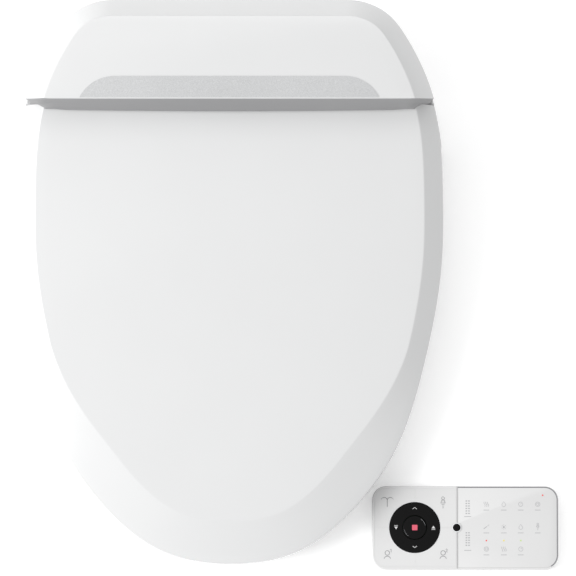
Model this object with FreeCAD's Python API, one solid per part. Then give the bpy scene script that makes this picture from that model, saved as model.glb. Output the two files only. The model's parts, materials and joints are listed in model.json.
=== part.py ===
import FreeCAD, Part
import math
import os

from FreeCAD import Vector

# Electric bidet seat with a wireless remote, modelled as an assembly of separate solids.
#
# Row frame, in millimetres: +Z up, +Y towards the wall behind the bowl, +X to the right seen from the
# front. The origin is midway between the two bowl bolts, on the plane of the bowl's rim, z = 0.

os.makedirs("parts", exist_ok=True)

# ---------------------------------------------------------------- driving dimensions
# Right half of the outline seen from above, from the front tip to the corner of the straight back.
HALF_OUTLINE = [
    (0, -460), (60, -449.5), (117, -406), (149, -361.5), (179.5, -274), (194.8, -186),
    (196, -125), (187.5, -40), (173, -1), (160.8, 21.2), (145.9, 40), (127.8, 50.4), (107.3, 54),
]
OUTLINE_SAMPLES = 24
TIP_Y = -460.0
BACK_Y = 54.0
WALL = 3.0

# Sloping planes, each (height at the front tip, rise per mm of Y).
LID_RIM = (34.0, 0.0628)
LID_SHOULDER = (40.0, 0.1063)
LID_TOP = (49.35, 0.1223)
RING_TOP = (30.4, 0.0635)
COVER_SHOULDER = (147.8, -0.085)
COVER_TOP = (168.7, -0.092)

BEVEL_SIDE = 17.5          # width of the sloping band round the outline
BEVEL_FRONT_EXTRA = 20.5   # how much wider it gets at the front
BEVEL_GROW = (-260.0, 130.0)
LID_WALL = 2.8

HINGE_Y = -64.0
HINGE_Z = 84.0
PIN_R = 4.0
BUSH_R = 6.0
HINGE_FIT = 0.08
LID_SWEEP_R = 26.0         # nothing of the lid behind the hinge reaches further than this
GROOVE_R = 27.0            # channel in the housing that the lid's back edge turns in

SHELF_FRONT_Y = -76.0
SHELF_TOP = 54.0
HOUSING_FRONT_Y = -38.0
BASE_BOTTOM = 2.0
BASE_SPLIT = 60.0
BASE_FLOOR = 10.0
BASE_FLARE = 1.2           # the lower case stands this far outside the top cover
FASCIA_TOP_Y = -40.5
FASCIA_FOOT = (-45.0, 105.5)

NOSE_HALF = 50.0
NOSE_FRONT_Y = -128.0
NOSE_BOTTOM = 4.0
NOSE_TOP = 38.0

RING_REAR_Y = -80.0
RING_BOTTOM = 9.0
RING_SPLIT = 20.0
RING_INSET = 2.5
RING_WALL = 2.5
RING_EDGE = 7.0
BRIDGE_BOTTOM = 41.0
OPENING_HALF = [(0, -396), (62, -374), (99, -305), (103, -235), (80, -172), (0, -146)]

NOZZLE_TILT = 15.0
NOZZLE_TIP = (0.0, -122.0, 14.6)
NOZZLE_R = 6.0
NOZZLE_LENGTH = 172.0
MODULE = 1.0
PINION_TEETH = 12
PINION_U = 107.0           # where the pinion meets the rack, from the nozzle's tip

FAN = (92.0, 6.0)
FAN_R = 33.0
INLET = (-146.0, 8.0)
DRAIN = (-118.0, -2.0)
INLET_R = 10.48            # half-inch pipe thread, outside radius
SCREW_SPOTS = [(122.0, -26.0), (120.0, 34.0), (-122.0, -26.0), (-120.0, 34.0)]

BRACKET_HALF = (95.0, 35.0)
BRACKET_THICK = 7.0
BOLT_SPACING = 140.0
BOLT_SLOT_R = 4.5
BOLT_SLOT_LENGTH = 30.0

REMOTE = (217.0, -425.0)
REMOTE_HALF = (86.0, 38.5)
REMOTE_CORNER = 13.0
REMOTE_RIM = 2.2             # case left around the corner keys
FIELD_EDGE_X = -8.6          # right-hand end of the corner keys
PANEL_RIM = 1.3              # case left around the right-hand panel
PANEL_EDGE_X = -7.0          # left-hand end of that panel
REMOTE_TOP = 18.0
PAD_CENTRE_X = -46.7       # centre of the round control, from the remote's centre
PAD_R = 23.6
STOP_R = 10.9
KEY_GAP = 0.5
KEY_TRAVEL_GAP = 1.2

EPS = 0.01
FAR = 600.0


# ---------------------------------------------------------------- helpers
def level(plane, y):
    """Height of a sloping plane at y."""
    return plane[0] + plane[1] * (y - TIP_Y)


def lift(plane, dz):
    return (plane[0] + dz, plane[1])


def box(x0, x1, y0, y1, z0, z1):
    return Part.makeBox(x1 - x0, y1 - y0, z1 - z0, Vector(x0, y0, z0))


def rod(centre, direction, radius, length):
    return Part.makeCylinder(radius, length, Vector(*centre), Vector(*direction))


def along_x(x0, x1, y, z, radius):
    return rod((x0, y, z), (1, 0, 0), radius, x1 - x0)


def upright(x, y, z0, z1, radius):
    return rod((x, y, z0), (0, 0, 1), radius, z1 - z0)


def side_prism(points, x0, x1):
    """A (y, z) polygon drawn out along X."""
    ring = [Vector(x0, y, z) for y, z in points]
    face = Part.Face(Part.makePolygon(ring + ring[:1]))
    return face.extrude(Vector(x1 - x0, 0, 0))


def plan_prism(wire, z0, z1):
    """A flat wire at z = 0 drawn up from z0 to z1."""
    face = Part.Face(wire)
    face.translate(Vector(0, 0, z0))
    return face.extrude(Vector(0, 0, z1 - z0))


def fuse(first, *others):
    return first.multiFuse(list(others)).removeSplitter() if others else first


def mirrored(shape):
    return shape.mirror(Vector(0, 0, 0), Vector(1, 0, 0))


def both_sides(shape):
    return [shape, mirrored(shape)]


def save(name, *solids):
    """Writes one node's STEP from its solids."""
    shape = solids[0] if len(solids) == 1 else Part.makeCompound(list(solids))
    count = len(shape.Solids)
    if not shape.isValid() or count < len(solids):
        print("check", name, "valid", shape.isValid(), "solids", count)
    if count == 1:
        shape = shape.Solids[0]
    shape.exportStep("parts/" + name + ".step")
    print(name, count, round(shape.Volume / 1000, 1), "cm3")


def smooth(points, first=None, last=None):
    curve = Part.BSplineCurve()
    if first:
        curve.interpolate(Points=points, InitialTangent=first, FinalTangent=last, Scale=False)
    else:
        curve.interpolate(Points=points)
    return curve


def half_spline():
    points = [Vector(x, y, 0) for x, y in HALF_OUTLINE]
    return smooth(points, Vector(1, 0, 0), Vector(-1, 0, 0))


def half_points(inset):
    """Points of the right half of the outline, moved inwards by inset, a number or a function of y."""
    curve = half_spline()
    first, last = curve.FirstParameter, curve.LastParameter
    points = []
    for k in range(OUTLINE_SAMPLES + 1):
        t = first + (last - first) * k / OUTLINE_SAMPLES
        p = curve.value(t)
        along = curve.tangent(t)[0]
        amount = inset(p.y) if callable(inset) else inset
        x = 0.0 if k == 0 else p.x - along.y * amount
        points.append((x, p.y + along.x * amount))
    return points


def outline(inset, plane):
    """The closed outline on a sloping plane, moved inwards by inset."""
    half = half_points(inset)
    right = [Vector(x, y, level(plane, y)) for x, y in half]
    left = [Vector(-x, y, level(plane, y)) for x, y in reversed(half)]
    edges = [
        smooth(right, Vector(1, 0, 0), Vector(-1, 0, 0)).toShape(),
        Part.makeLine(right[-1], left[0]),
        smooth(left, Vector(-1, 0, 0), Vector(1, 0, 0)).toShape(),
    ]
    return Part.Wire(edges)


def stack(*sections):
    """A solid through outlines, each (inset, plane), with straight sides between them."""
    return Part.makeLoft([outline(inset, plane) for inset, plane in sections], True, True)


def flat(z):
    return (z, 0.0)


def front_of(y):
    return box(-FAR, FAR, -FAR, y, -FAR, FAR)


def behind(y):
    return box(-FAR, FAR, y, FAR, -FAR, FAR)


def bevel(y):
    """Width of the sloping band at y: even along the sides and wider round the front."""
    t = min(1.0, max(0.0, (BEVEL_GROW[0] - y) / BEVEL_GROW[1]))
    return BEVEL_SIDE + BEVEL_FRONT_EXTRA * t * t * (3 - 2 * t)


def slab(plane, low, high, y0, y1):
    """The space between two planes parallel to a sloping plane, from y0 to y1."""
    a, b = level(plane, y0), level(plane, y1)
    return side_prism([(y0, a + low), (y1, b + low), (y1, b + high), (y0, a + high)], -FAR, FAR)


def rounded_wire(half_x, half_y, radius, cx=0.0, cy=0.0):
    """A rectangle with round corners, centred on (cx, cy)."""
    edges = []
    corners = [(1, 1, 0), (-1, 1, 90), (-1, -1, 180), (1, -1, 270)]
    arcs = []
    for sx, sy, start in corners:
        c = Vector(cx + sx * (half_x - radius), cy + sy * (half_y - radius), 0)
        circle = Part.Circle(c, Vector(0, 0, 1), radius)
        a, b = math.radians(start), math.radians(start + 90)
        arcs.append(Part.Arc(circle, a, b).toShape())
    for k, arc in enumerate(arcs):
        following = arcs[(k + 1) % 4]
        edges += [arc, Part.makeLine(arc.Vertexes[-1].Point, following.Vertexes[0].Point)]
    return Part.Wire(edges)


# ---------------------------------------------------------------- mounting bracket
def make_bracket():
    half_x, half_y = BRACKET_HALF
    plate = box(-half_x + 15, half_x - 15, -half_y, half_y, 0, BRACKET_THICK)
    wings = box(-half_x, half_x, -half_y, half_y, BRACKET_THICK - 3, BRACKET_THICK)
    plate = fuse(plate, wings)
    reach = BOLT_SLOT_LENGTH / 2 - BOLT_SLOT_R
    for side in (-1, 1):
        centre = side * BOLT_SPACING / 2
        slot = fuse(
            box(centre - reach, centre + reach, -BOLT_SLOT_R, BOLT_SLOT_R, -1, BRACKET_THICK + 1),
            upright(centre - reach, 0, -1, BRACKET_THICK + 1, BOLT_SLOT_R),
            upright(centre + reach, 0, -1, BRACKET_THICK + 1, BOLT_SLOT_R),
        )
        plate = plate.cut(slot)
    window = plan_prism(rounded_wire(22, 18, 6), -1, BRACKET_THICK + 1)
    plate = plate.cut(window)
    pads = []
    for x in (-44, 44):
        for y in (-26, 26):
            pad = plan_prism(rounded_wire(14, 5, 2, x, y), 0, 1.2)
            plate = plate.cut(pad)
            pads.append(pad)
    save("bracket_plate", plate)
    save("bracket_grip_pads", *pads)


# ---------------------------------------------------------------- base case
def base_outer():
    """Outside of the lower case, filled: the housing, the hinge shelf in front of it and the nose."""
    body = stack((-BASE_FLARE, flat(BASE_BOTTOM)), (-BASE_FLARE, flat(BASE_SPLIT)))
    body = body.common(behind(SHELF_FRONT_Y))
    step = box(-FAR, FAR, SHELF_FRONT_Y - 1, HOUSING_FRONT_Y, SHELF_TOP, FAR)
    return body.cut(step)


def base_cavity():
    body = stack(
        (WALL - BASE_FLARE, flat(BASE_FLOOR)),
        (WALL - BASE_FLARE, flat(BASE_SPLIT + 1)),
    )
    body = body.common(behind(SHELF_FRONT_Y + WALL))
    roof = box(-FAR, FAR, SHELF_FRONT_Y, HOUSING_FRONT_Y + WALL, SHELF_TOP - WALL, FAR)
    return body.cut(roof)


def hinge_tower():
    """Right-hand bearing for the hinge, standing on the shelf."""
    barrel = along_x(88, 130, HINGE_Y, HINGE_Z, 9.5)
    stem = box(88, 130, HINGE_Y - 9.5, HINGE_Y + 5, SHELF_TOP - 1, HINGE_Z)
    damper_bore = along_x(94, 131, HINGE_Y, HINGE_Z, 6.6)
    return fuse(barrel, stem).cut(damper_bore)


def bracket_channel():
    """Space under the base for the bracket plate, open at the back."""
    half_x, half_y = BRACKET_HALF
    y0 = -half_y - 1
    plate = box(-half_x + 14.4, half_x - 14.4, y0, FAR, -1, BRACKET_THICK + 0.6)
    wings = box(-half_x - 1, half_x + 1, y0, FAR, BRACKET_THICK - 3.4, BRACKET_THICK + 0.6)
    bolt_heads = [
        box(s * BOLT_SPACING / 2 - 17, s * BOLT_SPACING / 2 + 17, -11, FAR, 0, BRACKET_THICK + 6)
        for s in (-1, 1)
    ]
    return fuse(plate, wings, *bolt_heads)


def nozzle_frame(shape):
    """Moves a shape from the nozzle's frame (Y back along the wand from its tip) to the row frame."""
    placed = shape.copy()
    placed.rotate(Vector(0, 0, 0), Vector(1, 0, 0), NOZZLE_TILT)
    placed.translate(Vector(*NOZZLE_TIP))
    return placed


def make_base():
    outer = base_outer()
    nose = box(-NOSE_HALF, NOSE_HALF, NOSE_FRONT_Y, SHELF_FRONT_Y + 1, NOSE_BOTTOM, NOSE_TOP)
    rack_hump = box(-6, 6, -92, -75, NOSE_TOP - 1, NOSE_TOP + 2)
    case = fuse(outer.cut(base_cavity()), nose, rack_hump, *both_sides(hinge_tower()))
    nose_inside = box(
        -NOSE_HALF + 2.5, NOSE_HALF - 2.5, NOSE_FRONT_Y + 2.5, SHELF_FRONT_Y + WALL + 1,
        NOSE_BOTTOM + 2.5, NOSE_TOP - 2.5,
    )
    case = case.cut(nose_inside)
    bolt_covers = [
        box(s * BOLT_SPACING / 2 - 19, s * BOLT_SPACING / 2 + 19, -13, FAR, BASE_FLOOR - 1, 15.5).common(outer)
        for s in (-1, 1)
    ]
    inlet_boss = upright(*INLET, BASE_BOTTOM, 30.5, 19.5).common(outer)
    gland_box = box(27.5, 58.5, 29.5, BACK_Y + 2, BASE_BOTTOM, 30.5).common(outer)
    bosses = [upright(x, y, BASE_FLOOR - 1, BASE_SPLIT, 5) for x, y in SCREW_SPOTS]
    case = fuse(case, *bolt_covers, inlet_boss, gland_box, *bosses)
    cuts = [
        bracket_channel(),
        upright(*INLET, BASE_BOTTOM - 1, 28, 17),
        upright(*INLET, 27, 31, 7.1),
        box(30, 56, 32, BACK_Y + 5, BASE_BOTTOM - 1, 28),
        rod((43, 28, 15), (0, 1, 0), 5.1, 6),
        nozzle_frame(rod((0, -20, 0), (0, 1, 0), 7.5, 40)),
        box(-3.5, 3.5, -90, SHELF_FRONT_Y + WALL + 2, NOSE_TOP - 8, NOSE_TOP + 0.8),
        box(21, 43, NOSE_FRONT_Y - 1, NOSE_FRONT_Y + 3, 15, 32),
        along_x(18, 46, NOSE_FRONT_Y + 1.3, 31, 0.9),
        box(-34, -20, NOSE_FRONT_Y - 1, NOSE_FRONT_Y + 3, 17, 27),
        rod((-41, NOSE_FRONT_Y - 1, 22), (0, 1, 0), 3, 5),
        box(125, FAR, -30.4, 4.4, 15.6, 40.4),
        along_x(-FAR, -175, -58, 30, 6.3),
        along_x(175, FAR, -58, 27, 8.3),
        upright(*DRAIN, BASE_BOTTOM - 1, BASE_FLOOR + 5, 6.05),
    ]
    cuts += [upright(x, y, BASE_BOTTOM - 1, BASE_SPLIT + 1, 2.1) for x, y in SCREW_SPOTS]
    cuts += [upright(x, y, BASE_BOTTOM - 1, BASE_BOTTOM + 4, 4.2) for x, y in SCREW_SPOTS]
    for cut in cuts:
        case = case.cut(cut)
    save("base_case", case)
    feet = [
        upright(s * x, y, 0, BASE_BOTTOM, 8)
        for s in (-1, 1)
        for x, y in ((120, -58), (150, -34))
    ]
    save("base_feet", *feet)
    screws = []
    for x, y in SCREW_SPOTS:
        head = upright(x, y, BASE_BOTTOM + 0.5, BASE_BOTTOM + 3.5, 3.8)
        screws.append(fuse(head, upright(x, y, BASE_BOTTOM + 3, 78, 2)))
    save("case_screws", *screws)


# ---------------------------------------------------------------- top cover and accent panel
def panel_wire(grow):
    """Plan of the accent panel: straight front and back edges, with a falling arc at each end."""
    front_y, back_y = -39.7 - grow, -19.8 + grow
    back_x, front_x = 105.0, 137.0 + grow
    drop = back_y - front_y
    run = front_x - back_x
    angle = 2 * math.atan2(drop, run)
    radius = run / math.sin(angle)
    centre_y = back_y - radius
    middle = (
        back_x + radius * math.sin(angle / 2),
        centre_y + radius * math.cos(angle / 2),
    )
    points = {
        side: [
            Vector(side * front_x, front_y, 0),
            Vector(side * middle[0], middle[1], 0),
            Vector(side * back_x, back_y, 0),
        ]
        for side in (-1, 1)
    }
    return Part.Wire([
        Part.makeLine(points[-1][0], points[1][0]),
        Part.Arc(*points[1]).toShape(),
        Part.makeLine(points[1][2], points[-1][2]),
        Part.Arc(*reversed(points[-1])).toShape(),
    ])


def cover_front_cut():
    """Everything in front of the cover's fascia and of the channel that the lid turns in."""
    foot_y, foot_z = FASCIA_FOOT
    face = side_prism(
        [
            (-FAR, -FAR), (HOUSING_FRONT_Y + 0.5, -FAR), (HOUSING_FRONT_Y + 0.5, HINGE_Z),
            (HINGE_Y, HINGE_Z), (HINGE_Y, foot_z), (foot_y, foot_z),
            (FASCIA_TOP_Y, 130.1), (FASCIA_TOP_Y, FAR), (-FAR, FAR),
        ],
        -FAR, FAR,
    )
    channel = along_x(-FAR, FAR, HINGE_Y, HINGE_Z, GROOVE_R)
    return face, channel


def make_cover():
    outer = stack(
        (0, flat(BASE_SPLIT)), (0, COVER_SHOULDER), (BEVEL_SIDE, COVER_TOP),
    )
    cavity = stack(
        (WALL, flat(BASE_SPLIT - 1)),
        (WALL, lift(COVER_SHOULDER, -1.2)),
        (BEVEL_SIDE + 1.5, lift(COVER_TOP, -WALL)),
    ).common(behind(HOUSING_FRONT_Y + 4))
    face, channel = cover_front_cut()
    outer = outer.cut(face).cut(channel)
    cover = outer.cut(cavity)
    bosses = [upright(x, y, BASE_SPLIT, 96, 5) for x, y in SCREW_SPOTS]
    ties = []
    for x, y in SCREW_SPOTS:
        side = 1 if x > 0 else -1
        reach = side * 190
        ties.append(box(min(x, reach), max(x, reach), y - 1.5, y + 1.5, BASE_SPLIT, 96).common(outer))
    posts = [
        upright(x, y, 97.6, 127, 3).common(outer)
        for x, y in ((-52, -22), (52, -22), (-52, 28), (52, 28))
    ]
    posts += [upright(x, 0, 108, 127, 3).common(outer) for x in (80, 118)]
    cover = fuse(cover, *bosses, *ties, *posts)
    for x, y in SCREW_SPOTS:
        cover = cover.cut(upright(x, y, BASE_SPLIT - 1, 80, 2.0))
    recess = plan_prism(panel_wire(0.2), 0, FAR).common(slab(COVER_TOP, -1.4, 30, -60, 0))
    cover = cover.cut(recess)
    save("top_cover", cover)
    panel = plan_prism(panel_wire(0), 0, FAR).common(slab(COVER_TOP, -1.4, 0.2, -60, 0))
    save("accent_panel", panel)


# ---------------------------------------------------------------- hinge hardware
def make_hinges():
    damper = fuse(along_x(95, 130, HINGE_Y, HINGE_Z, 6.5), along_x(93.5, 95, HINGE_Y, HINGE_Z, 3))
    damper = damper.common(box(94.2, 130, -FAR, 0, 0, FAR))
    save("seat_damper", mirrored(damper))
    save("lid_damper", damper)
    pin = along_x(130, 151, HINGE_Y, HINGE_Z, PIN_R)
    cap = along_x(151, 153.5, HINGE_Y, HINGE_Z, 7)
    save("hinge_pins", *both_sides(pin))
    save("hinge_pin_caps", *both_sides(cap))


def bush(x0, x1):
    """Flanged bearing bush on the hinge axis."""
    sleeve = fuse(
        along_x(x0, x1, HINGE_Y, HINGE_Z, BUSH_R),
        along_x(x0 - 1, x0, HINGE_Y, HINGE_Z, BUSH_R + 1.5),
    )
    return sleeve.cut(along_x(x0 - 2, x1 + 1, HINGE_Y, HINGE_Z, PIN_R + HINGE_FIT))


# ---------------------------------------------------------------- seat ring
def opening_wire(grow, plane):
    """The hole in the ring, widened by grow, on a sloping plane."""
    centre_y = (OPENING_HALF[0][1] + OPENING_HALF[-1][1]) / 2
    half = []
    for x, y in OPENING_HALF:
        reach = math.hypot(x, y - centre_y)
        scale = (reach + grow) / reach
        half.append((x * scale, centre_y + (y - centre_y) * scale))
    right = [Vector(x, y, level(plane, y)) for x, y in half]
    left = [Vector(-x, y, level(plane, y)) for x, y in reversed(half)]
    return Part.Wire([
        smooth(right, Vector(1, 0, 0), Vector(-1, 0, 0)).toShape(),
        smooth(left, Vector(-1, 0, 0), Vector(1, 0, 0)).toShape(),
    ])


def opening_stack(*sections):
    wires = [opening_wire(grow, plane) for grow, plane in sections]
    return Part.makeLoft(wires, True, True)


def ring_space(shrink, bottom, top_drop):
    """The ring filled, with its walls moved inwards by shrink."""
    top = lift(RING_TOP, -top_drop)
    body = stack(
        (RING_INSET + shrink, flat(bottom)),
        (RING_INSET + shrink, lift(top, -RING_EDGE)),
        (RING_INSET + RING_EDGE + shrink * 0.6, top),
    ).common(front_of(RING_REAR_Y - shrink))
    hole = opening_stack(
        (shrink, flat(bottom - 5)),
        (shrink, lift(top, -RING_EDGE)),
        (RING_EDGE + shrink * 0.6, top),
        (RING_EDGE * 2, lift(top, 10)),
    )
    under = box(
        -NOSE_HALF - 8 - shrink, NOSE_HALF + 8 + shrink, -165 - shrink, -60,
        -20, BRIDGE_BOTTOM + shrink,
    )
    return body.cut(hole).cut(under)


def seat_arm():
    """Right-hand hinge arm of the ring."""
    eye = along_x(132, 140, HINGE_Y, HINGE_Z, 9)
    web = side_prism([(-114, 46), (-83, 46), (-57, 78), (-60, 92), (-70, 91)], 132, 140)
    return fuse(eye, web).cut(along_x(131, 141, HINGE_Y, HINGE_Z, BUSH_R))


def make_seat():
    shell = ring_space(0, RING_BOTTOM, 0).cut(ring_space(RING_WALL, RING_BOTTOM + RING_WALL, RING_WALL))
    upper = shell.common(box(-FAR, FAR, -FAR, FAR, RING_SPLIT, FAR))
    lower = shell.common(box(-FAR, FAR, -FAR, FAR, -FAR, RING_SPLIT))
    inside = ring_space(RING_WALL, RING_BOTTOM + RING_WALL, RING_WALL)
    upper = fuse(upper, *[arm.cut(inside) for arm in both_sides(seat_arm())])
    save("seat_top_shell", upper)
    save("seat_bottom_shell", lower)
    band = stack((24, lift(RING_TOP, -6.0)), (24, lift(RING_TOP, -5.0))).common(front_of(-175))
    band = band.cut(opening_stack((20, lift(RING_TOP, -8)), (20, lift(RING_TOP, 0))))
    save("seat_heater", band)
    spots = [(120, -352), (150, -190)]
    bumpers = [
        plan_prism(rounded_wire(7, 18, 6, s * x, y), 0, RING_BOTTOM) for x, y in spots for s in (-1, 1)
    ]
    save("seat_bumpers", *bumpers)
    save("seat_hinge_bushes", *both_sides(bush(132, 140)))


# ---------------------------------------------------------------- lid
def lid_back_edge():
    """Plan of what is cut off behind the lid: side ears stand back to the housing."""
    ear_y, valley_y, mid_y = -41.5, -46.5, -48.7
    right = [
        Vector(FAR, ear_y, 0), Vector(176.8, ear_y, 0), Vector(172.5, -42.9, 0),
        Vector(169.9, valley_y, 0), Vector(149.5, valley_y, 0), Vector(148.5, valley_y - 1, 0),
    ]
    left = [Vector(-p.x, p.y, 0) for p in right]
    return Part.Wire([
        Part.makeLine(right[0], right[1]),
        Part.Arc(right[1], right[2], right[3]).toShape(),
        Part.makeLine(right[3], right[4]),
        Part.makeLine(right[4], right[5]),
        Part.Arc(right[5], Vector(0, mid_y, 0), left[5]).toShape(),
        Part.makeLine(left[5], left[4]),
        Part.makeLine(left[4], left[3]),
        Part.Arc(left[3], left[2], left[1]).toShape(),
        Part.makeLine(left[1], left[0]),
        Part.makeLine(left[0], Vector(-FAR, FAR, 0)),
        Part.makeLine(Vector(-FAR, FAR, 0), Vector(FAR, FAR, 0)),
        Part.makeLine(Vector(FAR, FAR, 0), right[0]),
    ])


def make_lid():
    filled = stack((0, LID_RIM), (0, LID_SHOULDER), (bevel, LID_TOP))
    cavity = stack(
        (LID_WALL, lift(LID_RIM, -20)),
        (LID_WALL, lift(LID_SHOULDER, -1.2)),
        (lambda y: bevel(y) + 1.2, lift(LID_TOP, -LID_WALL)),
    )
    rib_profile = [(-128, 90), (-120, 82), (-70, 74.5), (-58, 74.5), (-53, 84), (-53, 110), (-128, 110)]
    rib = side_prism(rib_profile, 142, 148).common(filled)
    shell = fuse(filled.cut(cavity), *both_sides(rib))
    shell = shell.cut(plan_prism(lid_back_edge(), -FAR, FAR))
    beyond = box(-FAR, FAR, HINGE_Y, 0, 0, FAR).cut(along_x(-FAR, FAR, HINGE_Y, HINGE_Z, LID_SWEEP_R))
    shell = shell.cut(beyond)
    shell = shell.cut(along_x(-149, 149, HINGE_Y, HINGE_Z, BUSH_R))
    save("lid_shell", shell)
    liner = stack((3.4, lift(LID_RIM, 2)), (3.4, lift(LID_RIM, 4))).common(front_of(-132))
    save("lid_liner", liner)
    bumpers = []
    for x, y in ((112, -372), (156, -180)):
        top = level(LID_RIM, y - 6) + 2
        pad = upright(x, y, 0, top + 2, 6).common(slab(RING_TOP, 0.4, 60, -460, -100))
        pad = pad.cut(slab(LID_RIM, 2, 60, -460, -100))
        bumpers += both_sides(pad)
    save("lid_bumpers", *bumpers)
    save("lid_hinge_bushes", *both_sides(bush(142, 148)))


# ---------------------------------------------------------------- nozzle
def toothed(points, width):
    ring = [Vector(-width / 2, y, z) for y, z in points]
    face = Part.Face(Part.makePolygon(ring + ring[:1]))
    return face.extrude(Vector(width, 0, 0))


def rack_bar(start, end):
    """Straight rack on top of the wand, in the nozzle's frame. The pitch line is 3 mm above the wand."""
    pitch = math.pi * MODULE
    line = NOZZLE_R + 3.0
    root, crown = line - 0.9 * MODULE, line + 0.6 * MODULE
    points = [(start, NOZZLE_R - 1), (start, root)]
    first = math.ceil((start - PINION_U) / pitch) + 1
    last = math.floor((end - PINION_U) / pitch) - 1
    for k in range(first, last + 1):
        centre = PINION_U + k * pitch
        points += [
            (centre - 0.95, root), (centre - 0.42, crown),
            (centre + 0.42, crown), (centre + 0.95, root),
        ]
    points += [(end, root), (end, NOZZLE_R - 1)]
    return toothed(points, 5)


def pinion_centre():
    return (PINION_U, NOZZLE_R + 3.0 + MODULE * PINION_TEETH / 2)


def pinion():
    """Spur pinion in the nozzle's frame, with a tooth gap facing the rack."""
    cy, cz = pinion_centre()
    pitch_r = MODULE * PINION_TEETH / 2
    root, crown = pitch_r - 0.95 * MODULE, pitch_r + 0.6 * MODULE
    step = 2 * math.pi / PINION_TEETH
    points = []
    for k in range(PINION_TEETH):
        middle = -math.pi / 2 + (k + 0.5) * step
        for radius, offset in ((root, -0.155), (crown, -0.055), (crown, 0.055), (root, 0.155)):
            angle = middle + offset
            points.append((cy + radius * math.cos(angle), cz + radius * math.sin(angle)))
    gear = toothed(points, 5)
    return gear.cut(along_x(-4, 4, cy, cz, 1.5))


def make_nozzle():
    wand = rod((0, 14, 0), (0, 1, 0), NOZZLE_R, NOZZLE_LENGTH - 14)
    rack = rack_bar(98, NOZZLE_LENGTH - 2)
    save("nozzle_wand", nozzle_frame(fuse(wand, rack)))
    tip = rod((0, 0, 0), (0, 1, 0), NOZZLE_R, 14)
    tip = tip.makeFillet(2.5, [e for e in tip.Edges if e.BoundBox.YMax < 0.01])
    tip = tip.cut(box(-2, 2, 4, 10, NOZZLE_R - 0.8, 10))
    tip = tip.cut(rod((0, 7, 0), (0, 0, 1), 0.7, 10))
    save("nozzle_tip", nozzle_frame(tip))
    save("nozzle_pinion", nozzle_frame(pinion()))
    cy, cz = pinion_centre()
    motor = fuse(along_x(6, 21, cy, cz, 9.5), along_x(-3, 6, cy, cz, 1.45))
    save("nozzle_motor", nozzle_frame(motor))
    cradle = box(-10, 10, 56, 166, -10, -0.5)
    cradle = cradle.cut(rod((0, 50, 0), (0, 1, 0), NOZZLE_R + 0.25, 120))
    cradle = nozzle_frame(cradle)
    legs = [
        box(-8, 8, -58, -50, BASE_FLOOR, 24),
        box(-8, 8, 22, 30, BASE_FLOOR, 45),
    ]
    save("nozzle_cradle", fuse(cradle, *legs))


# ---------------------------------------------------------------- water path
def make_water_parts():
    x, y = INLET
    nipple = fuse(upright(x, y, 4, 25, INLET_R), upright(x, y, 24, 28, 14), upright(x, y, 27, 34, 7))
    nipple = nipple.cut(upright(x, y, 3, 35, 5.5))
    save("water_inlet", nipple)
    strainer = upright(x, y, 6, 20, 5.3).cut(upright(x, y, 5, 18.5, 4.3))
    save("inlet_strainer", strainer)
    valve = fuse(
        box(x - 12, x + 12, y - 12, y + 12, 34, 60),
        upright(x, y, 60, 84, 10.5),
        rod((x + 11, y, 46), (1, 0, 0), 4, 5),
    )
    save("inlet_valve", valve)
    heater = plan_prism(rounded_wire(34, 30, 8, -78, 3), 17, 78)
    feet = [box(-111, -92, -20, 26, BASE_FLOOR, 17.5), box(-49.5, -44.5, -20, 26, BASE_FLOOR, 17.5)]
    heater = fuse(heater, *feet)
    ribs = [plan_prism(rounded_wire(35, 31, 9, -78, 3), z, z + 2) for z in (26, 46, 66)]
    save("water_heater", fuse(heater, *ribs))
    selector = fuse(
        box(-40, -16, -8, 30, BASE_FLOOR, 36),
        upright(-28, 4, 36, 52, 10),
        rod((-42.7, 20, 24), (1, 0, 0), 4, 3),
    )
    save("flow_selector", selector)
    plug = upright(*DRAIN, BASE_BOTTOM + 0.3, BASE_FLOOR, 6)
    save("drain_plug", plug)
    gland = fuse(
        rod((43, 32, 15), (0, 1, 0), 8, 4),
        rod((43, 36, 15), (0, 1, 0), 6.5, 12),
        rod((43, 27.5, 15), (0, 1, 0), 5, 5),
    ).cut(rod((43, 27, 15), (0, 1, 0), 3.6, 30))
    save("cord_gland", gland)


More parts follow.
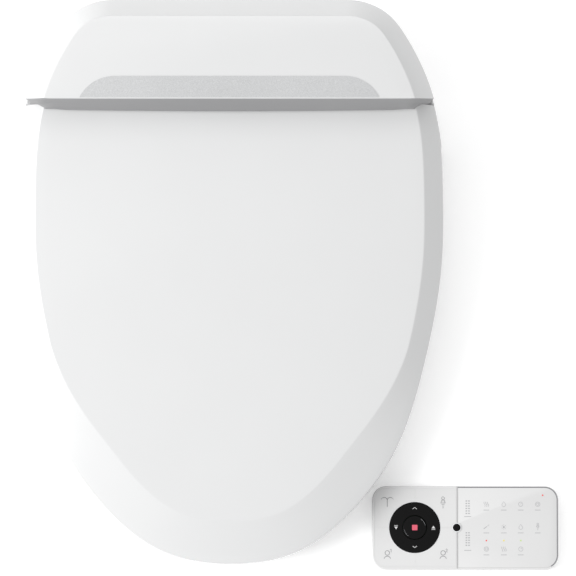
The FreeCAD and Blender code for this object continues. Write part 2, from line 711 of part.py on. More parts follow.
# ---------------------------------------------------------------- warm air dryer and deodoriser
def make_dryer():
    x, y = FAN
    case = fuse(
        upright(x, y, 16, 42, FAN_R),
        box(20, x, y - FAN_R, y - FAN_R + 24, 16, 40),
    )
    hollow = fuse(
        upright(x, y, 18, 40, FAN_R - 2),
        box(22, x, y - FAN_R - 1, y - FAN_R + 22, 18, 38).cut(
            box(44.5, x, y - FAN_R - 2, y - FAN_R + 2, 10, 60)
        ),
    )
    legs = [
        upright(x + 27 * math.cos(a), y + 27 * math.sin(a), BASE_FLOOR, 17, 4)
        for a in (0.5, 1.35, 4.6)
    ]
    case = fuse(case.cut(hollow), *legs)
    case = case.cut(upright(x, y, 15, 19, 17)).cut(upright(x, y, 39, 43, 3.2))
    save("fan_case", case)
    save("fan_motor", fuse(upright(x, y, 42, 58, 15), upright(x, y, 22, 42.5, 2)))
    hub = upright(x, y, 23, 37, 7)
    disc = upright(x, y, 35.5, 37, 27)
    blades = []
    for k in range(18):
        blade = box(19, 26.5, -0.6, 0.6, 20, 36)
        blade.rotate(Vector(19, 0, 0), Vector(0, 0, 1), 28)
        blade.rotate(Vector(0, 0, 0), Vector(0, 0, 1), k * 20)
        blade.translate(Vector(x, y, 0))
        blades.append(blade)
    wheel = fuse(hub, disc, *blades).cut(upright(x, y, 19, 40, 2.08))
    save("fan_wheel", wheel)
    duct_y0, duct_y1 = NOSE_FRONT_Y + 3.2, y - FAN_R
    duct = box(19.5, 44.5, duct_y0, duct_y1, 14, 33.4)
    duct = duct.cut(box(21.5, 42.5, duct_y0 - 1, duct_y1 + 1, 16, 31.8))
    save("dryer_duct", duct)
    pivot_y = NOSE_FRONT_Y + 1.3
    flap = fuse(
        box(21.6, 42.4, pivot_y - 0.6, pivot_y + 0.6, 15.8, 31),
        along_x(18.5, 45.5, pivot_y, 31, 0.8),
    )
    save("dryer_flap", flap)
    block = box(132, FAR, -30, 4, 16, 40).common(base_outer())
    tray = block.cut(box(134, 178, -28, 2, 18, 41))
    save("deodorizer_cartridge", tray)
    save("carbon_filter", box(134.3, 166, -27.7, 1.7, 18, 39))


# ---------------------------------------------------------------- electronics, lenses and side buttons
def make_electronics():
    board = box(-60, 60, -30, 38, 96, 97.6)
    parts = [
        box(-44, -20, -10, 14, 92, 96),
        box(-8, 14, -14, 8, 93.5, 96),
        upright(30, 20, 84, 96, 6),
        upright(44, 20, 86, 96, 5),
    ]
    save("control_board", fuse(board, *parts))
    save("ir_receiver", box(22, 30, -30, -26, 97.6, 112))
    save("power_supply", box(66, 112, -18, 26, 84, 108))
    save("seat_sensor_lens", box(-33.8, -20.2, NOSE_FRONT_Y - 0.4, NOSE_FRONT_Y + 2.4, 17.2, 26.8))
    save("night_light_lens", rod((-41, NOSE_FRONT_Y - 0.4, 22), (0, 1, 0), 2.9, 2.8))
    outer = base_outer()
    power = along_x(-FAR, -178, -58, 30, 6).common(outer)
    save("power_button", power)
    release = along_x(178, FAR, -58, 27, 8).common(outer)
    save("release_button", release)


# ---------------------------------------------------------------- remote
def at_remote(shape):
    placed = shape.copy()
    placed.translate(Vector(REMOTE[0], REMOTE[1], 0))
    return placed


def remote_block(inset, z0, z1):
    half_x, half_y = REMOTE_HALF
    return plan_prism(rounded_wire(half_x - inset, half_y - inset, REMOTE_CORNER - inset), z0, z1)


def key_field(gap):
    """Plan of the four corner keys together: round outer corners, square beside the lens."""
    rim = REMOTE_RIM + gap
    half_x, half_y = REMOTE_HALF[0] - rim, REMOTE_HALF[1] - rim
    field = plan_prism(rounded_wire(half_x, half_y, REMOTE_CORNER - rim), 0, FAR)
    return field.common(box(-FAR, FIELD_EDGE_X - gap, -FAR, FAR, 0, FAR))


def panel_field(gap):
    """Plan of the right-hand panel: square beside the lens, round outer corners."""
    rim = PANEL_RIM + gap
    half_x, half_y = REMOTE_HALF[0] - rim, REMOTE_HALF[1] - rim
    field = plan_prism(rounded_wire(half_x, half_y, REMOTE_CORNER - rim), 0, FAR)
    return field.common(box(PANEL_EDGE_X + gap, FAR, -FAR, FAR, 0, FAR))


def make_remote():
    back = remote_block(0, 1, 12).cut(remote_block(2, 3, 13))
    back = back.cut(box(4, 62, -14, 14, 0, 4))
    save("remote_back_case", at_remote(back))
    door = fuse(box(4.3, 61.7, -13.7, 13.7, 1, 2.6), box(30, 34, -4, 4, 0.6, 1.2))
    save("battery_door", at_remote(door))
    feet = [upright(x, y, 0, 1, 3.5) for x in (-76, 76) for y in (-28, 28)]
    save("remote_feet", *[at_remote(f) for f in feet])
    cells = [rod((11, y, 8.2), (1, 0, 0), 5.0, 44) for y in (-6, 6)]
    save("remote_batteries", *[at_remote(c) for c in cells])
    face = remote_block(0, 12, REMOTE_TOP - 1).cut(remote_block(2, 11, REMOTE_TOP - 3))
    left_rim = remote_block(0, REMOTE_TOP - 1.5, REMOTE_TOP).common(box(-FAR, -8, -FAR, FAR, 0, FAR))
    face = fuse(face, left_rim)
    face = face.cut(key_field(0).common(box(-FAR, 0, -FAR, FAR, 11, FAR)))
    lens_hole = upright(-8, 0, 11, FAR, 3.6)
    window = panel_field(0).common(box(-FAR, FAR, -FAR, FAR, REMOTE_TOP - 1.6, FAR))
    face = face.cut(lens_hole).cut(window)
    save("remote_face", at_remote(face))
    overlay = panel_field(0.15).common(box(-FAR, FAR, -FAR, FAR, REMOTE_TOP - 1.6, REMOTE_TOP - 0.8))
    save("keypad_overlay", at_remote(overlay.cut(upright(-8, 0, 0, FAR, 4.6))))
    save("remote_lens", at_remote(upright(-8, 0, 14, REMOTE_TOP + 0.1, 3.4)))
    board = box(-80, 2, -34, 34, 5.4, 7).common(remote_block(3, 0, 20))
    save("remote_board", at_remote(board))
    names = {(-1, 1): "key_back_left", (1, 1): "key_back_right",
             (-1, -1): "key_front_left", (1, -1): "key_front_right"}
    hole = upright(PAD_CENTRE_X, 0, 0, FAR, PAD_R + 0.7)
    field_x = (REMOTE_RIM - REMOTE_HALF[0] + FIELD_EDGE_X) / 2
    plate = key_field(KEY_GAP).common(box(-FAR, 0, -FAR, FAR, 14.5, REMOTE_TOP))
    for (sx, sy), name in names.items():
        quadrant = box(
            min(field_x + sx * KEY_GAP / 2, field_x + sx * 60), max(field_x + sx * KEY_GAP / 2, field_x + sx * 60),
            min(sy * KEY_GAP / 2, sy * 60), max(sy * KEY_GAP / 2, sy * 60), 0, FAR,
        )
        key = plate.common(quadrant).cut(hole).cut(upright(-8, 0, 0, FAR, 4.4))
        stem = upright(field_x + sx * 27, sy * 26, 7.8 + KEY_TRAVEL_GAP, 15, 3)
        save(name, at_remote(fuse(key, stem)))
    ring = upright(PAD_CENTRE_X, 0, 13.6, REMOTE_TOP + 0.4, PAD_R).cut(
        upright(PAD_CENTRE_X, 0, 13, 20, STOP_R + 0.7))
    skirt = upright(PAD_CENTRE_X, 0, 11.6, 13.6, 17).cut(upright(PAD_CENTRE_X, 0, 11, 14, 5))
    save("direction_ring", at_remote(fuse(ring, skirt)))
    stop = fuse(upright(PAD_CENTRE_X, 0, 14.6, REMOTE_TOP, STOP_R), upright(PAD_CENTRE_X, 0, 9, 15, 3.5))
    save("stop_button", at_remote(stop))


def main():
    make_bracket()
    make_base()
    make_cover()
    make_hinges()
    make_seat()
    make_lid()
    make_nozzle()
    make_water_parts()
    make_dryer()
    make_electronics()
    make_remote()


main()
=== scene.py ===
"""Electric bidet seat with its wireless remote, in a plain studio.

Laid out as an add-on: each operator builds one piece or one group of like pieces round the fixed frame.
"""
import json
import math

import bmesh
import bpy
import numpy as np
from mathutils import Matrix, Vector

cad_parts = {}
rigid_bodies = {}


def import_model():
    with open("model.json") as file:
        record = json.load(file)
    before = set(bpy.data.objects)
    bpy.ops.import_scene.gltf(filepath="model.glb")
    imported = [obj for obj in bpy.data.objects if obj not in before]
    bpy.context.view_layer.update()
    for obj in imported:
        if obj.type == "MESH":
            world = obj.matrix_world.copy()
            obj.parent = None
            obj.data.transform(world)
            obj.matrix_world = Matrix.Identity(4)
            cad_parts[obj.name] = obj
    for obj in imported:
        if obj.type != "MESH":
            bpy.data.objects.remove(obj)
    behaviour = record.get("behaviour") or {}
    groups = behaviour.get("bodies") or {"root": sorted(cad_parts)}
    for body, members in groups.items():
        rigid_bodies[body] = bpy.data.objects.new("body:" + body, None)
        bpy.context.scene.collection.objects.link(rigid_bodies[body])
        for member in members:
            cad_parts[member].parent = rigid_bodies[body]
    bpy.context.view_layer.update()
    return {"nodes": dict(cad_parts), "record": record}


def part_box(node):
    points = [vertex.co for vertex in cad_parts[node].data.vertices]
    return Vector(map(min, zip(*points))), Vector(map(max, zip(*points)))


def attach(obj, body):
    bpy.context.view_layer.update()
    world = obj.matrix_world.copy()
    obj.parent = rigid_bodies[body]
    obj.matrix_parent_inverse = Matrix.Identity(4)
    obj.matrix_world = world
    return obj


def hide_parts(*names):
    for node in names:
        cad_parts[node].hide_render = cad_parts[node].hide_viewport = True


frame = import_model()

bl_info = {
    "name": "Electric Bidet Seat",
    "version": (1, 0, 0),
    "blender": (4, 5, 0),
    "location": "View3D > Sidebar > Bidet Seat",
    "description": "Builds an electric bidet seat and its remote round a packed frame",
    "category": "Object",
}

MM = 0.001

# Right half of the outline from above, from the front tip to the corner of the straight back, in mm.
HALF_OUTLINE = (
    (0, -460), (60, -449.5), (117, -406), (149, -361.5), (179.5, -274), (194.8, -186),
    (196, -125), (187.5, -40), (173, -1), (160.8, 21.2), (145.9, 40), (127.8, 50.4), (107.3, 54),
)
HALF_OPENING = ((0, -396), (62, -374), (99, -305), (103, -235), (80, -172), (0, -146))
TIP_Y = -460.0

# Sloping planes: height in mm at the front tip and rise per mm of Y.
LID_RIM = (34.0, 0.0628)
LID_SHOULDER = (40.0, 0.1063)
LID_TOP = (49.35, 0.1223)
RING_TOP = (30.4, 0.0635)
COVER_SHOULDER = (147.8, -0.085)
COVER_TOP = (168.7, -0.092)

BEVEL_SIDE = 17.5
BEVEL_FRONT_EXTRA = 20.5
HINGE_Y, HINGE_Z = -64.0, 84.0
LID_SWEEP_R = 26.0
LID_ROWS = 96
RING_SIDE_STEPS = 72


# ---------------------------------------------------------------- curves
class SmoothCurve:
    """Cubic through points, with its end directions given, measured along its chords."""

    def __init__(self, points, first, last):
        p = np.array(points, float)
        h = np.linalg.norm(np.diff(p, axis=0), axis=1)
        count = len(p)
        a, b = np.eye(count), np.zeros((count, 2))
        b[0], b[-1] = first, last
        for k in range(1, count - 1):
            a[k, k - 1:k + 2] = h[k], 2 * (h[k - 1] + h[k]), h[k - 1]
            before, after = (p[k] - p[k - 1]) / h[k - 1], (p[k + 1] - p[k]) / h[k]
            b[k] = 3 * (h[k] * before + h[k - 1] * after)
        self.p, self.h, self.m = p, h, np.linalg.solve(a, b)
        self.knots = np.concatenate([[0.0], np.cumsum(h)])
        self.length = self.knots[-1]

    def at(self, s):
        """Point and unit direction at chord distance s."""
        k = int(min(max(np.searchsorted(self.knots, s) - 1, 0), len(self.h) - 1))
        h, t = self.h[k], (s - self.knots[k]) / self.h[k]
        p0, p1, m0, m1 = self.p[k], self.p[k + 1], self.m[k] * h, self.m[k + 1] * h
        point = ((2 * t - 3) * t * t + 1) * p0 + ((t - 2) * t + 1) * t * m0
        point = point + (3 - 2 * t) * t * t * p1 + (t - 1) * t * t * m1
        slope = 6 * (t - 1) * t * (p0 - p1) + ((3 * t - 4) * t + 1) * m0 + (3 * t - 2) * t * m1
        return point, slope / np.linalg.norm(slope)


OUTLINE = SmoothCurve(HALF_OUTLINE, (1, 0), (-1, 0))
OPENING = SmoothCurve(HALF_OPENING, (1, 0), (-1, 0))


def level(plane, y):
    return plane[0] + plane[1] * (y - TIP_Y)


def bevel_width(y):
    """Width of the sloping band: even along the sides, wider round the front."""
    t = min(1.0, max(0.0, (-260.0 - y) / 130.0))
    return BEVEL_SIDE + BEVEL_FRONT_EXTRA * t * t * (3 - 2 * t)


def inset_point(s, inset):
    """Point of the outline at s, moved inwards by inset, a number or a function of y."""
    (x, y), (dx, dy) = OUTLINE.at(s)
    amount = inset(y) if callable(inset) else inset
    return max(0.0, x - dy * amount), y + dx * amount


def reach(inset, y):
    """Distance along the outline at which its inset curve passes y."""
    low, high = 0.0, OUTLINE.length
    for _ in range(40):
        middle = (low + high) / 2
        if inset_point(middle, inset)[1] < y:
            low = middle
        else:
            high = middle
    return low


# ---------------------------------------------------------------- mesh helpers
def new_piece(name, bm, material, body, replaces=(), sharp=32.0):
    """Turns a bmesh in millimetres into a finished piece that rides on a body."""
    bmesh.ops.scale(bm, vec=(MM, MM, MM), verts=bm.verts)
    mesh = bpy.data.meshes.new(name)
    bm.to_mesh(mesh)
    bm.free()
    mesh.shade_smooth()
    mesh.set_sharp_from_angle(angle=math.radians(sharp))
    mesh.materials.append(material)
    piece = bpy.data.objects.new(name, mesh)
    bpy.context.scene.collection.objects.link(piece)
    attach(piece, body)
    if replaces:
        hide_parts(*replaces)
    return piece


def grid(columns, rows, place):
    """A grid of columns by rows of vertices, each moved to place(column, row)."""
    bm = bmesh.new()
    bmesh.ops.create_grid(bm, x_segments=columns - 1, y_segments=rows - 1, size=1)
    for v in bm.verts:
        i = round((v.co.x + 1) / 2 * (columns - 1))
        j = round((v.co.y + 1) / 2 * (rows - 1))
        v.co = place(i, j)
    return bm


def join(target, other):
    """Adds another bmesh to target."""
    mesh = bpy.data.meshes.new("joining")
    other.to_mesh(mesh)
    other.free()
    target.from_mesh(mesh)
    bpy.data.meshes.remove(mesh)


def tidy_surface(bm, distance=0.02):
    bmesh.ops.remove_doubles(bm, verts=bm.verts, dist=distance)
    bmesh.ops.dissolve_degenerate(bm, edges=bm.edges, dist=distance)


def crease_edges(bm, angle=14.0, within=None):
    """Edges where two faces meet at more than angle."""
    limit = math.radians(angle)
    return [
        e for e in bm.edges
        if len(e.link_faces) == 2 and e.calc_face_angle(0) > limit
        and (within is None or all(within(v.co) for v in e.verts))
    ]


def soften(bm, edges, width, segments=4):
    bmesh.ops.bevel(
        bm, geom=edges, offset=width, offset_type="OFFSET", segments=segments, profile=0.5,
        affect="EDGES", material=-1, clamp_overlap=True,
    )


def face_up(bm):
    """Turns every face of an open skin so that it faces out of the top."""
    bmesh.ops.recalc_face_normals(bm, faces=bm.faces)
    if sum(f.normal.z * f.calc_area() for f in bm.faces) < 0:
        bmesh.ops.reverse_faces(bm, faces=bm.faces)


def thicken(bm, wall):
    """Gives an outward-facing skin a wall on its inner side."""
    face_up(bm)
    bmesh.ops.solidify(bm, geom=bm.faces[:], thickness=wall)
    bmesh.ops.recalc_face_normals(bm, faces=bm.faces)


def rounded_plan(half_x, half_y, radius, cx=0.0, cy=0.0, steps=8):
    """Plan points of a rectangle with round corners."""
    points = []
    for k, (sx, sy) in enumerate(((1, 1), (-1, 1), (-1, -1), (1, -1))):
        for j in range(steps + 1):
            a = math.radians(90 * (k + j / steps))
            points.append((
                cx + sx * (half_x - radius) + radius * math.cos(a),
                cy + sy * (half_y - radius) + radius * math.sin(a),
            ))
    return points


def disc_plan(radius, cx=0.0, cy=0.0, steps=64):
    turn = 2 * math.pi / steps
    return [(cx + radius * math.cos(k * turn), cy + radius * math.sin(k * turn)) for k in range(steps)]


def prism(points, z0, z1, edge=0.0, low_edge=0.0, segments=4):
    """A closed block over plan points, with its upper and lower edges rounded."""
    bm = bmesh.new()
    bmesh.ops.create_circle(bm, cap_ends=True, radius=1, segments=len(points))
    bm.verts.ensure_lookup_table()
    for v, (x, y) in zip(bm.verts, points):
        v.co = (x, y, z0)
    bmesh.ops.remove_doubles(bm, verts=bm.verts, dist=0.005)
    grown = bmesh.ops.extrude_face_region(bm, geom=bm.faces[:])
    top = [v for v in grown["geom"] if isinstance(v, bmesh.types.BMVert)]
    bmesh.ops.translate(bm, vec=(0, 0, z1 - z0), verts=top)
    bmesh.ops.recalc_face_normals(bm, faces=bm.faces)
    for z, width in ((z1, edge), (z0, low_edge)):
        if width:
            rim = [e for e in bm.edges if all(abs(v.co.z - z) < 1e-4 for v in e.verts)]
            soften(bm, rim, width, segments)
    return bm


def cutter(points, z0, z1):
    """A block object that only cuts, kept out of the scene."""
    mesh = bpy.data.meshes.new("cutter")
    bm = prism(points, z0, z1)
    bm.to_mesh(mesh)
    bm.free()
    return bpy.data.objects.new("cutter", mesh)


def cut(bm, *blocks):
    """Takes the cutters' volume out of a bmesh and returns a new one."""
    mesh = bpy.data.meshes.new("cutting")
    bm.to_mesh(mesh)
    bm.free()
    work = bpy.data.objects.new("cutting", mesh)
    links = bpy.context.scene.collection.objects
    links.link(work)
    for block in blocks:
        links.link(block)
        tool = work.modifiers.new("cut", "BOOLEAN")
        tool.operation, tool.solver, tool.object = "DIFFERENCE", "EXACT", block
    evaluated = work.evaluated_get(bpy.context.evaluated_depsgraph_get())
    result = bmesh.new()
    result.from_mesh(evaluated.to_mesh())
    evaluated.to_mesh_clear()
    for old in (work, *blocks):
        old_mesh = old.data
        bpy.data.objects.remove(old)
        bpy.data.meshes.remove(old_mesh)
    return result


# ---------------------------------------------------------------- materials
def node(tree, kind, **values):
    made = tree.nodes.new(kind)
    for key, value in values.items():
        if key in made.inputs:
            made.inputs[key].default_value = value
        else:
            setattr(made, key, value)
    return made


def finish(name, colour, roughness, vary=0.03, grain=900.0, bump=0.02, depth=0.00005,
           metallic=0.0, coat=0.0, speckle=0.0, spread=0.04, specular=0.5, glow=0.0):
    """A moulded or metal finish: faint tone changes, uneven gloss and a fine grain."""
    material = bpy.data.materials.new(name)
    material.use_nodes = True
    tree = material.node_tree
    shader = tree.nodes["Principled BSDF"]
    shader.inputs["Metallic"].default_value = metallic
    shader.inputs["Coat Weight"].default_value = coat
    shader.inputs["Specular IOR Level"].default_value = specular
    shader.inputs["Emission Color"].default_value = (1, 1, 1, 1)
    shader.inputs["Emission Strength"].default_value = glow
    shader.inputs["Coat Roughness"].default_value = 0.06
    place = node(tree, "ShaderNodeTexCoord")
    tone = node(tree, "ShaderNodeTexNoise", Scale=9.0, Detail=3.0)
    fine = node(tree, "ShaderNodeTexNoise", Scale=grain, Detail=2.0)
    for texture in (tone, fine):
        tree.links.new(place.outputs["Object"], texture.inputs["Vector"])
    ramp = node(tree, "ShaderNodeValToRGB")
    low, high = ramp.color_ramp.elements
    low.position, high.position = 0.3, 0.7
    low.color = [c * (1 - vary) for c in colour] + [1]
    high.color = [min(1.0, c * (1 + vary)) for c in colour] + [1]
    tree.links.new(tone.outputs["Fac"], ramp.inputs["Fac"])
    colour_out = ramp.outputs["Color"]
    if speckle:
        grit = node(tree, "ShaderNodeValToRGB")
        a, b = grit.color_ramp.elements
        a.position, b.position = 0.42, 0.6
        a.color = [1 - speckle] * 3 + [1]
        b.color = [1, 1, 1, 1]
        tree.links.new(fine.outputs["Fac"], grit.inputs["Fac"])
        mix = node(tree, "ShaderNodeMix", data_type="RGBA", blend_type="MULTIPLY")
        mix.inputs["Factor"].default_value = 1.0
        tree.links.new(colour_out, mix.inputs["A"])
        tree.links.new(grit.outputs["Color"], mix.inputs["B"])
        colour_out = mix.outputs["Result"]
    tree.links.new(colour_out, shader.inputs["Base Color"])
    gloss = node(tree, "ShaderNodeMapRange")
    gloss.inputs["To Min"].default_value = max(0.02, roughness - spread)
    gloss.inputs["To Max"].default_value = roughness + spread
    tree.links.new(tone.outputs["Fac"], gloss.inputs["Value"])
    tree.links.new(gloss.outputs["Result"], shader.inputs["Roughness"])
    relief = node(tree, "ShaderNodeBump", Strength=bump, Distance=depth)
    tree.links.new(fine.outputs["Fac"], relief.inputs["Height"])
    tree.links.new(relief.outputs["Normal"], shader.inputs["Normal"])
    return material


FINISHES = {}


def make_finishes(colours):
    white, shade = tuple(colours.white), tuple(colours.panel)
    FINISHES.update(
        white_gloss=finish("white_gloss", white, 0.24, vary=0.008, grain=700, coat=0.35),
        white_matte=finish("white_matte", [c * 0.96 for c in white], 0.42, bump=0.15, grain=1600),
        panel_grey=finish("panel_grey", shade, 0.5, bump=0.5, grain=1400, depth=0.0002, speckle=0.16),
        # the housing's grey front behind the lid, darkened further to paint in the shade of the groove
        groove_grey=finish("groove_grey", tuple(colours.groove), 0.5, grain=1400, bump=0.1),
        grey_plastic=finish("grey_plastic", (0.22, 0.225, 0.235), 0.45, bump=0.2, grain=1200),
        black_rubber=finish("black_rubber", (0.02, 0.02, 0.02), 0.75, bump=0.3, grain=1500),
        black_gloss=finish("black_gloss", (0.004, 0.004, 0.004), 0.42, vary=0.1, specular=0.1),
        steel=finish("steel", (0.55, 0.55, 0.57), 0.32, metallic=1.0, grain=1200, bump=0.1),
        chrome=finish("chrome", (0.8, 0.8, 0.82), 0.1, metallic=1.0),
        foil=finish("foil", (0.7, 0.71, 0.73), 0.3, metallic=1.0, grain=1000, bump=0.1),
        carbon=finish("carbon", (0.02, 0.02, 0.02), 0.8, grain=500, bump=0.8, depth=0.0006),
        board_green=finish("board_green", (0.02, 0.12, 0.05), 0.4, grain=700, bump=0.3),
        lens_clear=finish("lens_clear", (0.78, 0.79, 0.80), 0.2),
        remote_white=finish("remote_white", tuple(colours.remote), 0.36, vary=0.01, grain=1500, bump=0.08),
        print_grey=finish("print_grey", (0.36, 0.36, 0.37), 0.5),
        key_print=finish("key_print", (0.16, 0.16, 0.17), 0.5),
        print_white=finish("print_white", (0.55, 0.55, 0.55), 0.5),
        stop_red=finish("stop_red", (0.62, 0.09, 0.14), 0.5),
        lamp_red=finish("lamp_red", (0.75, 0.10, 0.09), 0.4),
        lamp_yellow=finish("lamp_yellow", (0.72, 0.62, 0.12), 0.4),
        lamp_green=finish("lamp_green", (0.45, 0.62, 0.2), 0.4),
    )


# ---------------------------------------------------------------- lid
def lid_back(x):
    """Y of the lid's back edge at x: ears at the sides, a small step, then a slight bow."""
    ax = abs(x)
    if ax >= 176.8:
        return -41.5
    if ax >= 169.9:
        t = (176.8 - ax) / 6.9
        return -41.5 - 5.0 * (1 - math.sqrt(max(0.0, 1 - t * t)))
    if ax >= 149.5:
        return -46.5
    return -47.5 - 1.2 * (1 - (ax / 149.5) ** 2)


def lid_rim_z(y):
    """The rim rises behind the hinge so that the lid's back can turn in its channel."""
    z = level(LID_RIM, y)
    back = y - HINGE_Y
    if back > 0:
        z = max(z, HINGE_Z - math.sqrt(max(0.0, LID_SWEEP_R ** 2 - back * back)) + 0.2)
    return z


LID_FRACTIONS = (0.0, 0.2, 0.4, 0.6, 0.75, 0.862, 0.869, 0.93)
CORNER_STEPS = 5


def corner(before, at, after, radius, t):
    """Point at t on a rounded corner between two straight sides."""
    start = at + (before - at).normalized() * min(radius, (before - at).length * 0.48)
    end = at + (after - at).normalized() * min(radius, (after - at).length * 0.48)
    return start * (1 - t) ** 2 + at * (2 * t * (1 - t)) + end * t ** 2


def crown_at(y, fraction, rise):
    """The top swells slightly in its middle, and stays flat at the tip and by the hinge."""
    ahead = min(1.0, max(0.0, (y + 422) / 120))
    behind = min(1.0, max(0.15, (-46 - y) / 90))
    return rise * (1 - fraction ** 2) * ahead * behind


def build_lid(sizes):
    radius, rise = sizes.lid_edge * 1000, sizes.crown * 1000
    end_edge = reach(0.0, -41.5)
    end_inner = reach(bevel_width, -44.6)

    def inner_width(y):
        return bevel_width(y) + 8

    def section(t):
        """Rim, shoulder, bend and a point further in on the top, at t from tip to back."""
        x, y = inset_point(end_edge * t, 0.0)
        z = lid_rim_z(y)
        rim = Vector((x, y, z))
        shoulder = Vector((x, y, max(level(LID_SHOULDER, y), z + 2)))
        x, y = inset_point(end_inner * t, bevel_width)
        bend = Vector((x, y, level(LID_TOP, y)))
        x, y = inset_point(end_inner * t, inner_width)
        return rim, shoulder, bend, Vector((x, y, level(LID_TOP, y)))

    half = [("rim", 0.0), ("wall", 0.5)]
    half += [("shoulder", k / CORNER_STEPS) for k in range(CORNER_STEPS + 1)]
    half += [("band", f) for f in (0.25, 0.5, 0.75)]
    half += [("bend", k / CORNER_STEPS) for k in range(CORNER_STEPS + 1)]
    half += [("face", f) for f in reversed(LID_FRACTIONS)]
    middle = len(half) - 1

    def place(i, j):
        kind, f = half[min(i, 2 * middle - i)]
        side = 1 if i <= middle else -1
        t = (j / (LID_ROWS - 1)) ** 0.9
        last = j == LID_ROWS - 1
        rim, shoulder, bend, inside = section(t)
        low_corner = corner(rim, shoulder, bend, radius, 1.0)
        high_corner = corner(shoulder, bend, inside, radius, 0.0)
        guard = corner(shoulder, bend, inside, radius, 1.0)
        if kind == "rim":
            p = rim
        elif kind == "wall":
            p = rim.lerp(corner(rim, shoulder, bend, radius, 0.0), f)
        elif kind == "shoulder":
            p = corner(rim, shoulder, bend, radius, f)
        elif kind == "band":
            p = low_corner.lerp(high_corner, f)
        elif kind == "bend":
            p = corner(shoulder, bend, inside, radius, f)
        else:
            p = Vector((guard.x * f, guard.y, guard.z))
        x, y, z = max(0.0, p.x), p.y, p.z
        if last and kind in ("band", "bend", "face"):
            moved_y = lid_back(x)
            z += LID_TOP[1] * (moved_y - y) if kind != "band" else 0.0
            y = moved_y
        if kind == "face":
            z += crown_at(y, f, rise)
        return Vector((side * x, y, z))

    bm = grid(2 * middle + 1, LID_ROWS, place)
    tidy_surface(bm, 0.01)
    thicken(bm, sizes.lid_wall * 1000)
    return new_piece("lid", bm, FINISHES["white_gloss"], "lid", ("lid_shell",), sharp=40)


# ---------------------------------------------------------------- housing cover
FASCIA_TOP = (-40.5, 130.0)   # Y and Z of the front's upper edge
LIP_R = 26.8                  # the lower lip's distance from the hinge axis
CHANNEL_R = 27.0              # the channel's, where it meets the case
FOOT_Z = 99.0                 # height of the front's two lower ends
CASE_TOP_Z = 60.0             # where the housing meets the lower case
CASE_FRONT_Y = -37.0
END_TURN = 7.0                # how far from its ends the front turns back
COVER_WALL = 2.4


def lip(x):
    """(y, z) of the fascia's lower lip at x: it follows the lid's back edge, clear of the lid's turn."""
    y = lid_back(x) - 0.8
    return y, HINGE_Z + math.sqrt(LIP_R ** 2 - (y - HINGE_Y) ** 2)


def edge_y(z):
    """Y of the shell's front edge at its two ends, which looks straight from above."""
    return FASCIA_TOP[0] + (FASCIA_TOP[1] - z) * 0.1


